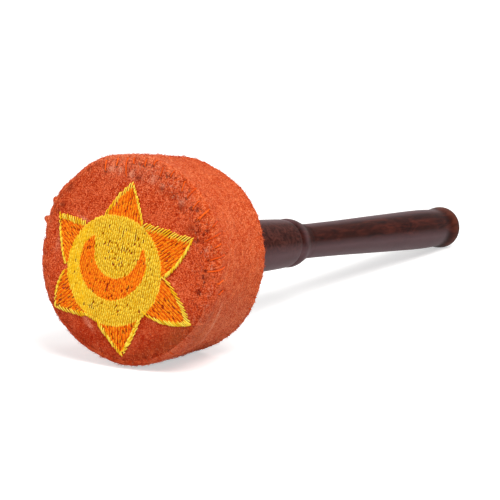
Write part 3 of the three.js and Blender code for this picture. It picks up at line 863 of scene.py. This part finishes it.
# wool that the needle has pulled through: right, up and size
tufts = [(-8.9, 35.9, 0.9), (-4.4, 35.8, 0.8), (1.1, 34.4, 1.2), (11.1, 32.7, 0.9), (15.7, 30.7, 0.7),
         (21.6, 30.6, 0.6), (24.6, 25.1, 1.0), (26.9, 21.9, 0.6), (37, 7.1, 0.7), (38.1, 5.2, 0.6), (39.3, 0.1, 0.6),
         (40.2, -7.2, 0.6), (39.7, -9.5, 0.6), (38.3, -14.2, 0.6), (35.5, -20.4, 0.6), (-21.3, -22.3, 0.8)]


def markShare(name):
    def share(place):
        if place.y > 8:
            return 0
        return min(1, sum(strength * spot(place, *where) for *where, strength in faceMarks[name]))

    return share


def edgeShare(line):
    # painted shade: dark dimples where the thread goes into the felt, and a shadow line beside each stitch
    def share(place):
        radius, rise = math.hypot(place.x, place.z), line.fromFace(place.y)
        if radius < line.widest - 9 or rise > 14:
            return 0
        length = line.lengthAt(radius) if rise < head["felt"] else rise - head["felt"]
        turn = polar(place)
        total = 0
        for stitch in line.stitches:
            if abs(apart(turn, stitch["outer"])) > 10:
                continue
            _, across, toInner, toOuter = besideStitch(line, stitch, turn, length)
            total += 0.7 * stitch["pull"] * (fading(toInner, 0.6) + fading(toOuter, 0.6))
            # painted shadow beside the stitch
            total += 0.25 * fading(across - 0.45, 0.3)
        return min(total, 1)

    return share


def roughShare(place):
    # the seam's worked and picked-up felt, most on the right and at the top
    radius, turn = around(place, 35)
    if radius < 24 or place.y > 9:
        return 0
    length = frontLine.lengthAt(radius) if place.y < head["felt"] else place.y - head["felt"]
    return fading(length + 6.0, 5.6) * (0.1 + 0.9 * fading(turn, 80, 4))


def bandShare(place):
    # the darker line where the strip meets the face, at the upper left
    radius, turn = around(place, 138)
    return 0.4 * fading(radius - 40.4, 0.6) * fading(turn, 28, 4) if place.y < 4 else 0


def towardsSide(place):
    # the face's felt takes on the side's tone over its edge, on the right and at the top
    radius, turn = around(place, 62)
    return clamped((radius - 36.5) / 4) * fading(turn, 66, 4) if place.y <= 3 else 0


def deepShare(place):
    # painted shade: the face is a deeper red low down, where less light falls
    return 0.6 * clamped((-12 - place.z) / 20)


# how far along the axis the face's tone goes on the strip, by turn; where it reaches furthest, low on the right, it is
# partly painted shade
faceTone = [(-262, 0), (-232, 5), (-200, 6.5), (-80, 6.5), (-62, 8), (-52, 13), (-43, 9), (-34, 5.5), (-20, 5.5),
            (-12, 6.5), (0, 3), (14, 0)]


def towardsFace(place):
    turn = apart(polar(place), -124) - 124
    end = 0
    for (low, before), (high, after) in zip(faceTone, faceTone[1:]):
        if low <= turn < high:
            end = before + (after - before) * (turn - low) / (high - low)
    return clamped((end - place.y) / 2)


def stripBrown(place):
    # brown, low on the right
    across = math.radians(apart(polar(place), -38)) * frontLine.widest
    marks = ((0, 4, 5, 0.5), (-7, 10, 4.5, 0.4), (9, 4, 3, 0.35))  # round, along, size, strength
    if abs(across) > 30:
        return 0
    return min(1, sum(strength * math.exp(-(((across - x) / size) ** 2) - ((place.y - y) / size) ** 2)
                      for x, y, size, strength in marks))


def petalCorners(petal):
    # tip, first and second foot, and the middle of the three
    tip, first, second = (Vector(corner) for corner in (petal["tip"], *petal["feet"]))
    return tip, first, second, (tip + first + second) / 3


def underThread(place):
    # 1 where the felt is in the shade of the embroidery
    if place.y > 2:
        return 0
    x, z, radius = embroidery["disc"]
    if math.hypot(place.x - x, place.z - z) < radius - 0.7:
        return 1
    point = Vector((place.x, place.z))
    for petal in embroidery["petals"]:
        *corners, middle = petalCorners(petal)
        if geometry.intersect_point_tri_2d(point, *(middle + (corner - middle) * 0.86 for corner in corners)):
            return 1
    return 0


# Loose fibres: their radius, lengths and heights, and how many start on each felt, with a seed
fuzz = {
    "radius": 0.07,
    "lengths": (0.6, 1.8),
    "heights": (0.15, 0.75),
    "face": (1400, 91),
    "side": (5000, 92),
}
roots = {}  # places and outward directions where the fibres start


def root(piece, name, wanted):
    count, seed = fuzz[name]
    piece.data.update()
    vertices = [vertex for vertex in piece.data.vertices if wanted(vertex.co)]
    roots[name] = [(vertex.co.copy(), vertex.normal.copy()) for vertex in random.Random(seed).sample(vertices, count)]


def makeFrontFelt():
    piece = spun("front_felt", discRows(frontLine), head["steps"])
    hollow, dimple = markShare("hollow"), edgeShare(frontLine)
    paint(piece, pale=markShare("pale"), stain=markShare("stain"), turned=towardsSide, deep=deepShare,
          rough=roughShare,
          hollow=lambda place: min(1, hollow(place) + dimple(place) + bandShare(place) + 0.5 * underThread(place)))
    reshape(piece, shapeDisc(frontLine))
    reshape(piece, uneven)
    root(piece, "face", lambda place: place.y < 6 and not underThread(place))
    layDown(piece, "face_felt", "front_cover")


def makeRearFelt():
    piece = spun("rear_felt", discRows(rearLine, head["neck"]), head["steps"])
    paint(piece, hollow=edgeShare(rearLine))
    reshape(piece, shapeDisc(rearLine))
    reshape(piece, uneven)
    layDown(piece, "face_felt", "rear_cover")
    aboveFloor(piece)


def lapRows(line):
    # the strip's turned-in edge, thin where it meets the disc, from its inside to its outside
    rows = [(line.lap + out, line.fromFace(rise))
            for out, rise in ((-1, 3.2), (0.6, 2.7), (0.6, 2.0), (0.1, 1.35), (-0.3, 0.98))]
    start = line.lengthAt(line.lap - 0.45)
    count = round(-start / head["rowSpacing"]["lap"])
    for i in range(count):
        radius, along, out = line.at(start - start * i / count)
        lift = (-0.14, -0.03)[i] if i < 2 else 0.03
        rows.append((radius + out[0] * lift, along + out[1] * lift))
    return rows


def stripRows():
    front, rear = head["frontEdge"], head["rearEdge"]
    rows = lapRows(frontLine)
    count = round((rear - front) / head["rowSpacing"]["wall"])
    for i in range(count + 1):
        along = front + (rear - front) * i / count
        rows.append((wallRadius(along) + 0.03, along))
    rows += lapRows(rearLine)[::-1]
    for i in range(9):
        along = head["depth"] - 3.4 + (6.8 - head["depth"]) * i / 8
        rows.append((min(wallRadius(along) - head["felt"], 38.6), along))
    return rows + rows[:1]


# The strip's own join, on the side away from the view: its turn, the slit's width and depth, and where its
# stitches start and end along the axis and their number
seam = {"turn": 172, "slit": 0.9, "depth": 1.3, "stitches": (6.0, 38.4, 10)}
# small felted knots that stand out on the front edge: turn, length on the edge line, size and height
knots = [(162.4, -0.2, 1.5, 2.3), (150.4, -0.4, 1.2, 1.2)]
stripLumps = [(14, 0.4, 41), (5, 0.2, 42), (2.2, 0.16, 43), (1.0, 0.09, 44)]  # size, depth and seed


def shapeStrip(place):
    radius, rise = math.hypot(place.x, place.z), place.y
    front, rear = head["frontEdge"], head["rearEdge"]
    if radius < wallRadius(min(max(rise, front), rear)) - 2.2 and 2.2 < rise < 42.2:
        return place  # inside the head
    turn = polar(place)
    # past an edge, on a disc, the outline turns and the strip merges with the disc
    line = frontLine if rise < front else rearLine if rise > rear else None
    length, out = 0, (1, 0)
    if line:
        length = line.lengthAt(min(radius, line.widest - 0.01))
        out = line.at(length)[2]
    toFront = length if line is frontLine else rise - front
    toRear = length if line is rearLine else rear - rise
    move = -sum(lumps(place, *scale) for scale in stripLumps)
    for end, far, puff in ((frontLine, toFront, 1), (rearLine, toRear, 1.3)):
        if far < 12:
            move -= drawnIn(end, turn, far)
            move += puffed(end, turn, far) * puff
    for knotTurn, at, size, height in knots:
        far = math.hypot(math.radians(apart(turn, knotTurn)) * frontLine.widest, toFront - at)
        move += height * fading(far, size, 4)
    slit = abs(math.radians(apart(turn, seam["turn"])) * radius)
    if slit < 4:
        move -= seam["depth"] * fading(slit, seam["slit"])
        move += 0.25 * fading(slit - 2, 1.2)
    outwards = Vector((place.x / radius, 0, place.z / radius))
    own = outwards * (out[0] * move) + Vector((0, out[1] * move, 0))
    if not line:
        return place + own
    merge = clamped((length - line.lengthAt(line.lap)) / 4)
    sink = line.inwards * discSink(line, place) + lumps(place, 3.5, 0.1, 45)
    return place + own * merge + Vector((0, sink * (1 - merge), 0))


def stripPale(place):
    # a pale crease behind the front edge, low on the right, a painted highlight on the top, where the light falls, and
    # a pale patch low on the right
    radius, turn = around(place, 0)
    if radius < 36:
        return 0
    crease = 0
    if abs(turn + 36) < 26 and place.y > 5:
        middle = 11 - 0.05 * (turn + 17) + 0.0045 * (turn + 17) ** 2
        crease = fading(place.y - middle, 0.8) * fading(turn + 38, 19, 4)
    # painted highlight on the top of the strip
    top = 0.2 * fading(apart(turn, 92), 26) * clamped((22 - place.y) / 12)
    low = 0.2 * fading(apart(turn, -45), 28, 4)
    return min(1, crease * 0.6 + top + low)


def makeSideFelt():
    piece = spun("side_felt", stripRows(), head["steps"])
    front, rear = edgeShare(frontLine), edgeShare(rearLine)
    paint(piece, pale=stripPale, turned=towardsFace, stain=stripBrown,
          hollow=lambda place: min(1, 0.7 * (front(place) + rear(place))),
          rough=lambda place: 0.8 * roughShare(place),
          # painted shade: the face's darker bottom where its tone reaches the strip, and a little on the strip's top
          deep=lambda place: deepShare(place) * towardsFace(place) + 0.1 * max(0, place.z / 40 - 0.5))
    reshape(piece, shapeStrip)
    reshape(piece, uneven)
    root(piece, "side", lambda place: math.hypot(place.x, place.z) > 39.2)
    layDown(piece, "side_felt", "side_cover")
    aboveFloor(piece)


makeFrontFelt()
makeRearFelt()
makeSideFelt()
print("felt covers made")

# Padding inside

padding = {
    "steps": 128,
    "soft": 0.9,  # how much is taken off the corners
    "worn": 34.6,  # radius beyond which the outside is uneven
    # inner and outer radius, and where it starts and ends along the axis
    "pieces": {
        "padding_wrap": (32.4, 36.8, 8.6, 35.8),
        "front_pad": (0, 37, 3.4, 8.2),
        "rear_pad": (10.6, 37, 36.2, 41),
    },
}


def straightRows(start, end):
    # rows between two soft corners, about 3 mm apart
    (r0, y0), (r1, y1) = start, end
    count = max(2, round((math.dist(start, end) + 2 * padding["soft"]) / 3))
    return [(r0 + (r1 - r0) * i / count, y0 + (y1 - y0) * i / count) for i in range(count + 1)]


def padRows(inner, outer, low, high):
    # an outline with soft corners: closed on itself, or from the axis to the axis
    soft, middle = padding["soft"], (low + high) / 2
    rows = [(inner, middle), (inner, low + soft)]
    rows += straightRows((inner + soft, low), (outer - soft, low))
    rows.append((outer - soft * 0.3, low + soft * 0.3))
    rows += straightRows((outer, low + soft), (outer, high - soft))
    rows.append((outer - soft * 0.3, high - soft * 0.3))
    rows += straightRows((outer - soft, high), (inner + soft, high))
    rows += [(inner, high - soft), (inner, middle)]
    return rows if inner else [(0, low), *rows[3:-3], (0, high)]


def makePadding():
    for seed, (node, sizes) in enumerate(padding["pieces"].items()):
        def soften(place):
            if math.hypot(place.x, place.z) > padding["worn"]:
                share = 1 - 0.012 * (0.5 + noise.noise(place / 4 + Vector((seed, 0, 0))))
                place.x *= share
                place.z *= share
            return place

        piece = spun(f"{node}_felt", padRows(*sizes), padding["steps"])
        reshape(piece, soften)
        layDown(piece, "padding_felt", node)


makePadding()
for node, slot in (("head_core", "pale_wood"), ("core_washer", "zinc_steel"), ("core_screw", "zinc_steel")):
    materials = frame["nodes"][node].data.materials
    materials.clear()
    materials.append(finishes[slot])
print("padding and core finished")

# Threads


def sewn(name, runs, radius, roundness=1):
    # each run: its points with a share of the thread's radius, and its tone
    bpy.ops.object.select_all(action="DESELECT")
    bpy.ops.curve.primitive_bezier_curve_add()
    thread = bpy.context.object
    thread.name = name
    curve = thread.data
    curve.splines.clear()
    curve.dimensions = "3D"
    curve.bevel_depth = radius
    curve.bevel_resolution = roundness
    for points, _ in runs:
        spline = curve.splines.new("POLY")
        spline.points.add(len(points) - 1)
        for point, (place, share) in zip(spline.points, points):
            point.co = (*place, 1)
            point.radius = share
    bpy.ops.object.convert(target="MESH")
    piece = bpy.context.object
    mesh = piece.data
    mesh.name = name
    sides = len(mesh.vertices) // sum(len(points) for points, _ in runs)
    bpy.ops.object.mode_set(mode="EDIT")
    bpy.ops.mesh.select_all(action="SELECT")
    bpy.ops.mesh.fill_holes(sides=0)
    bpy.ops.mesh.normals_make_consistent(inside=False)
    bpy.ops.object.mode_set(mode="OBJECT")
    tones, turns, lengths = [], [], []
    for points, tone in runs:
        length = 0
        for i, (place, _) in enumerate(points):
            length += (Vector(place) - Vector(points[i - 1][0])).length if i else 0
            tones += [tone] * sides
            turns += [side / sides for side in range(sides)]
            lengths += [length] * sides
    mesh.attributes.new("tone", "FLOAT", "POINT").data.foreach_set("value", tones)
    while mesh.uv_layers:
        mesh.uv_layers.remove(mesh.uv_layers[0])
    strand = mesh.uv_layers.new(name="strand")
    for face in mesh.polygons:
        corners = [mesh.loops[loop].vertex_index for loop in face.loop_indices]
        wraps = max(turns[c] for c in corners) - min(turns[c] for c in corners) > 0.5 and len(corners) == 4
        for loop, corner in zip(face.loop_indices, corners):
            turn = turns[corner] + (1 if wraps and turns[corner] < 0.5 else 0)
            strand.data[loop].uv = (turn, lengths[corner])
    return piece


def rimRuns(line, seed):
    rng = random.Random(seed)
    runs = []
    for stitch in line.stitches:
        points = []
        bow = rng.uniform(-0.3, 0.3)
        spread = apart(stitch["outer"], stitch["inner"])
        for share in (-0.03, 0.0, 0.07, 0.18, 0.32, 0.46, 0.6, 0.74, 0.87, 0.95, 1.0, 1.03):
            radius, along, out = line.at(stitch["start"] + (stitch["end"] - stitch["start"]) * share)
            within = clamped(share)
            turn = math.radians(stitch["inner"] + spread * share) + bow * math.sin(within * math.pi) / radius
            risen = min(1, 6 * min(within, 1 - within))
            lift = -0.7 + (0.7 + stitch["proud"]) * risen - stitch["press"] * math.sin(within * math.pi)
            if line.front and along < head["felt"]:
                lift -= faceSink(radius * math.cos(turn), radius * math.sin(turn), False)
            radius += out[0] * lift
            place = Vector((radius * math.cos(turn), along + out[1] * lift, radius * math.sin(turn)))
            points.append((place, 0.75 if share < 0 or share > 1 else 1))
        runs.append((points, stitch["tone"]))
    return runs


def makeRimThreads():
    for end, line in (("front", frontLine), ("rear", rearLine)):
        piece = sewn(f"{end}_rim_stitches", rimRuns(line, 51), rimStitches["threadRadius"], 2)
        reshape(piece, uneven)
        layDown(piece, "seam_thread", f"{end}_edge_thread")
        aboveFloor(piece)


def makeSideSeam():
    rng = random.Random(61)
    runs = []
    turn = math.radians(seam["turn"])
    first, last, count = seam["stitches"]
    for i in range(count):
        along = first + (last - first) * (i + 0.5) / count + rng.uniform(-0.3, 0.3)
        points = []
        for share in (-1.08, -1, -0.75, -0.4, 0, 0.4, 0.75, 1, 1.08):
            y = along + share * 1.1
            radius = wallRadius(y) + (0.3 if abs(share) < 0.9 else -0.55)
            side = turn + share * 3.4 / radius
            points.append((Vector((radius * math.cos(side), y, radius * math.sin(side))), 1))
        runs.append((points, rng.uniform(0.1, 0.9)))
    piece = sewn("side_seam_stitches", runs, rimStitches["threadRadius"], 2)
    reshape(piece, uneven)
    layDown(piece, "seam_thread", "side_seam_thread")


makeRimThreads()
makeSideSeam()
print("seams sewn")

# Embroidery


def circlePoints(x, z, radius, count=120):
    return [(x + radius * math.cos(math.tau * i / count), z + radius * math.sin(math.tau * i / count))
            for i in range(count)]


def roundedLoop(points, steps=5):
    # a smooth closed line through the points
    out = []
    count = len(points)
    for i in range(count):
        a, b, c, d = (Vector(points[(i + k - 1) % count]) for k in range(4))
        for s in range(steps):
            t = s / steps
            out.append(0.5 * (2 * b + (c - a) * t + (2 * a - 5 * b + 4 * c - d) * t * t
                              + (3 * b - a - 3 * c + d) * t**3))
    return [(p.x, p.y) for p in out]


def directions(degrees):
    # along a lean, and to its left
    lean = math.radians(degrees)
    return Vector((math.cos(lean), math.sin(lean))), Vector((-math.sin(lean), math.cos(lean)))


def crossings(outlines, run, side, offset):
    # where a line along the run, this far to its side, goes in and out of the outlines
    found = []
    for outline in outlines:
        for a, b in zip(outline, outline[1:] + outline[:1]):
            p, q = Vector(a), Vector(b)
            high, low = p.dot(side) - offset, q.dot(side) - offset
            if (high > 0) != (low > 0):
                found.append((p + (q - p) * (high / (high - low))).dot(run))
    found.sort()
    return list(zip(found[::2], found[1::2]))


def parted(clusters, lengths, seed):
    # places of the holes, as points and lengths, none of them close to another
    rng = random.Random(seed)
    holes = []
    for x, z, wide, high, count in clusters:
        for _ in range(count):
            hole = Vector((rng.gauss(x, wide / 2), rng.gauss(z, high / 2)))
            length = rng.uniform(*lengths)
            if all((hole - other).length > 0.85 for other, _ in holes):
                holes.append((hole, length))
    return holes


def uncovered(spans, holes, run, side, offset, reach):
    # the spans without what the holes near this line take out of them
    for hole, length in holes:
        if abs(hole.dot(side) - offset) > reach:
            continue
        low, high = hole.dot(run) - length / 2, hole.dot(run) + length / 2
        spans = [part for start, end in spans
                 for part in ((start, min(end, low)), (max(start, high), end)) if part[1] > part[0]]
        spans = sorted(set(spans))
    return spans


def fieldStitches(outlines, leanDegrees, lengths, seed, ragged, holes, spacing, rows, shift=0.5, reach=0.5):
    # rows: the tones of rows side by side, over and over, and the share of each row's stitches left out
    rng = random.Random(seed)
    run, side = directions(leanDegrees)
    sides = [Vector(p).dot(side) for outline in outlines for p in outline]
    stitches = []
    offset = min(sides) + spacing * shift
    row = 0
    while offset < max(sides):
        tone, missing = rows[row % len(rows)]
        spans = [(start - rng.uniform(-0.1, ragged), end + rng.uniform(-0.1, ragged))
                 for start, end in crossings(outlines, run, side, offset)]
        for start, end in uncovered(spans, holes, run, side, offset, spacing * reach):
            if end - start < 0.45:
                continue
            place = start
            first = rng.uniform(0.35, 1) * lengths[1]
            while place < end:
                length = first if place == start else rng.uniform(*lengths)
                upTo = place + length
                if end - upTo < lengths[0] * 0.55:
                    upTo = end
                upTo = min(upTo, end)
                jitter = [rng.uniform(-0.06, 0.06) for _ in range(2)]
                if rng.random() >= missing:
                    stitches.append((run * place + side * (offset + jitter[0]),
                                     run * upTo + side * (offset + jitter[1]), tone))
                place = upTo + rng.uniform(0.0, 0.06)
        offset += spacing
        row += 1
    return stitches


def stitchRuns(stitches, seed, height, spread, thickness=1, wave=0.16):
    rng = random.Random(seed)
    runs = []
    for start, end, tone in stitches:
        if (end - start).length < 0.3:
            continue
        lift = height * rng.uniform(0.85, 1.12)
        thick = thickness * rng.uniform(0.9, 1.06)
        points = []
        for share, raised in ((0, -1.1), (0.08, 0.5), (0.28, 1.0), (0.72, 1.0), (0.92, 0.5), (1, -1.1)):
            flat = start + (end - start) * share
            bend = noise.noise_vector(Vector((flat.x / 5, 7, flat.y / 5))) * wave
            x, z = flat.x + bend.x, flat.y + bend.z
            place = Vector((x, faceSink(x, z) - raised * lift, z))
            points.append((place, thick * (0.6 if share in (0, 1) else 1)))
        runs.append((points, tone + rng.uniform(-spread, spread)))
    return runs


def embroider(name, layers, slot, node):
    # layers: the stitches, and their height, spread of tones, thickness and wave
    runs = []
    for seed, (stitches, how) in enumerate(layers):
        runs += stitchRuns(stitches, len(name) * 7 + seed, **how)
    piece = sewn(name, runs, embroidery["threadRadius"])
    reshape(piece, uneven)
    layDown(piece, slot, node)


def bowed(start, end, bow, count=24):
    # a side from one corner to the next, with its middle drawn out to the right of its run
    out = []
    across = end - start
    control = (start + end) / 2 + Vector((across.y, -across.x)) * bow * 2
    for i in range(count + 1):
        t = i / count
        out.append((1 - t) ** 2 * start + 2 * t * (1 - t) * control + t * t * end)
    return out


def inwardNormal(start, end, middle, place):
    # square to the stretch, and to the side of it where the middle is
    along = (end - start).normalized()
    normal = Vector((-along.y, along.x))
    return normal if normal.dot(middle - place) > 0 else -normal


def sideStitches(side, middle, leanDegrees, spacing, width, ragged, seed):
    # stitches of one lean from the outline to a line drawn in by the width
    rng = random.Random(seed)
    run, step = directions(leanDegrees)
    reach = [p.dot(step) for p in side]
    stitches = []
    offset = min(reach) + spacing / 2
    while offset < max(reach):
        for a, b in zip(side, side[1:]):
            high, low = a.dot(step) - offset, b.dot(step) - offset
            if (high > 0) != (low > 0):
                edge = a + (b - a) * (high / (high - low))
                slope = run.dot(inwardNormal(a, b, middle, edge))
                length = min(width / max(abs(slope), 0.2), 4.6)
                into = run if slope > 0 else -run
                stitches.append((edge - into * rng.uniform(0, ragged), edge + into * length * rng.uniform(0.8, 1.05),
                                 embroidery["borderTone"]))
        offset += spacing * rng.uniform(0.8, 1.2)
    whole = side[-1] - side[0]
    if abs(run.dot(whole.normalized())) < embroidery["follow"]:
        return stitches
    # where the stitches run almost along the side, a few rows follow it instead
    stitches = []
    spacing = embroidery["followSpacing"]
    for row in range(max(2, round(width / spacing))):
        place = rng.uniform(0, 0.1)
        while place < 1:
            upTo = min(place + rng.uniform(1.6, 2.6) / whole.length, 1.01)
            ends = []
            for share, lean in ((place, 0.18), (upTo, -0.18)):
                i = min(int(share * (len(side) - 1)), len(side) - 2)
                p = side[i] + (side[i + 1] - side[i]) * (share * (len(side) - 1) - i)
                normal = inwardNormal(side[i], side[i + 1], middle, p)
                ends.append(p + normal * (row * spacing + 0.1 + lean + rng.uniform(-0.06, 0.06)))
            stitches.append((*ends, embroidery["borderTone"]))
            place = upTo + 0.002
    return stitches


def field(outlines, holes, spacing, rows, lean, lengths, ragged, height, seed):
    # the stitches that show, and between them the ones that lie under them, darker as painted shade
    under = fieldStitches(outlines, lean, (4, 6), seed + 500, -0.3, holes, spacing, [(0.12, 0)], 0.0, 0.75)
    over = fieldStitches(outlines, lean, lengths, seed, ragged, holes, spacing, rows)
    thickness = spacing / embroidery["spacing"]
    return [(under, {"height": height - 0.12, "spread": 0.1, "thickness": 1.1 * thickness}),
            (over, {"height": height, "spread": 0.2, "thickness": 0.96 * thickness})]


def calmed(stitches):
    # the disc's stitches with their tones drawn together on the left
    start, over, quiet = embroidery["calm"]
    shares = [0.6 * clamped((start - first.x) / over) for first, _, _ in stitches]
    return [(first, last, tone + (quiet - tone) * share) for (first, last, tone), share in zip(stitches, shares)]


def petalOutlines(petal):
    # the two sides, and the fill's outline, which goes under the disc
    x, z, radius = embroidery["disc"]
    tip, first, second, middle = petalCorners(petal)
    sides = [bowed(first, tip, petal["bows"][0]), bowed(tip, second, petal["bows"][1])]
    arc = []
    for share in (0.05, 0.25, 0.5, 0.75, 0.95):
        out = second + (first - second) * share - Vector((x, z))
        arc.append(Vector((x, z)) + out.normalized() * (radius - 0.5))
    drawn = []
    for side, (_, _, width, _) in zip(sides, petal["sides"]):
        across = inwardNormal(side[0], side[-1], middle, side[0])
        drawn += [p + across * (0.35 + 0.4 * width) for p in side]
    return sides, middle, [tuple(p) for p in drawn + arc]


def shortened(stitch, petal):
    # a stitch beside the tip doesn't cross the petal's other side
    start, end, tone = stitch
    tip, first, second, _ = petalCorners(petal)
    if math.dist(end, tip) > 5 or geometry.intersect_point_tri_2d(end, tip, first, second):
        return stitch
    return start, start + (end - start) * 0.5, tone


def makeDiscAndCrescent():
    disc, crescent = circlePoints(*embroidery["disc"]), roundedLoop(embroidery["crescent"])
    fields, spacing, rows = embroidery["fields"], embroidery["spacing"], embroidery["discRows"]
    holes = parted(embroidery["discHoles"], (0.8, 1.5), 70)
    layers = field([disc, crescent], holes, spacing, rows, **fields["disc"])
    embroider("disc_stitches", [(calmed(stitches), how) for stitches, how in layers], "yellow_thread",
              "embroidered_disc")
    holes = parted(embroidery["crescentHoles"], (0.7, 1.5), 72)
    embroider("crescent_stitches", field([crescent], holes, spacing, rows, **fields["crescent"]), "orange_thread",
              "crescent")


def makePetals():
    x, z, radius = embroidery["disc"]
    spacing, rows = embroidery["fillSpacing"], embroidery["fillRows"]
    for i, petal in enumerate(embroidery["petals"]):
        sides, middle, outline = petalOutlines(petal)
        holes = parted([(*middle, 12, 12, 60)], (0.8, 1.8), 75 + i)
        layers = field([outline], holes, spacing, rows, petal["lean"], **embroidery["fields"]["petal"], seed=80 + i)
        embroider(f"petal_fill_{i + 1}_stitches", layers, "orange_thread", f"petal_fill_{i + 1}")
        border = []
        for j, (side, how) in enumerate(zip(sides, petal["sides"])):
            border += sideStitches(side, middle, *how, 100 + 2 * i + j)
        border = [shortened(stitch, petal) for stitch in border
                  if math.dist((stitch[0] + stitch[1]) / 2, (x, z)) > radius + 0.1]
        embroider(f"petal_border_{i + 1}_stitches", [(border, embroidery["border"])], "yellow_thread",
                  f"petal_border_{i + 1}")


noise.seed_set(7)  # the stitches wander the same way in each run
makeDiscAndCrescent()
makePetals()
print("embroidery sewn")

# Loose fibres


def hair(rng, start, out, length, height):
    # one curled fibre: along the surface, rising from it by the height
    side = out.orthogonal()
    side.rotate(Quaternion(out, rng.uniform(0, math.tau)))
    turned = out.cross(side)
    curl = rng.uniform(-0.6, 0.6)
    points = []
    for share in (0, 0.5, 1):
        rise = height * math.sin(share * rng.uniform(1.6, 2.6)) - 0.06
        place = start + side * length * share + turned * length * curl * share * share + out * rise
        points.append((place, 1 - 0.6 * share))
    return points, rng.random()


def makeFuzz():
    rng = random.Random(95)
    for name in ("face", "side"):
        runs = [hair(rng, place, out, rng.uniform(*fuzz["lengths"]), rng.uniform(*fuzz["heights"]))
                for place, out in roots[name]]
        aboveFloor(layDown(sewn(f"{name}_fuzz", runs, fuzz["radius"], 0), f"{name}_felt"))


def makeTufts():
    # pale wool that the needle has pulled through
    rng = random.Random(96)
    runs = []
    for x, z, size in tufts:
        sink = faceSink(x, z)
        start, out = Vector((x, sink, z)), Vector((0, -1, 0))
        if math.hypot(x, z) > 34:
            out = (start - Vector((x * 0.8, sink + 6, z * 0.8))).normalized()
        for _ in range(8):
            shift = Vector((rng.gauss(0, 0.3), 0, rng.gauss(0, 0.3))) * size
            runs.append(hair(rng, start + shift, out, rng.uniform(0.5, 1.1) * size, rng.uniform(0.15, 0.35) * size))
    piece = sewn("felt_tufts", runs, fuzz["radius"], 0)
    paint(piece, pale=lambda place: 0.9)
    reshape(piece, uneven)
    layDown(piece, "side_felt")


makeFuzz()
makeTufts()
print("loose fibres laid")
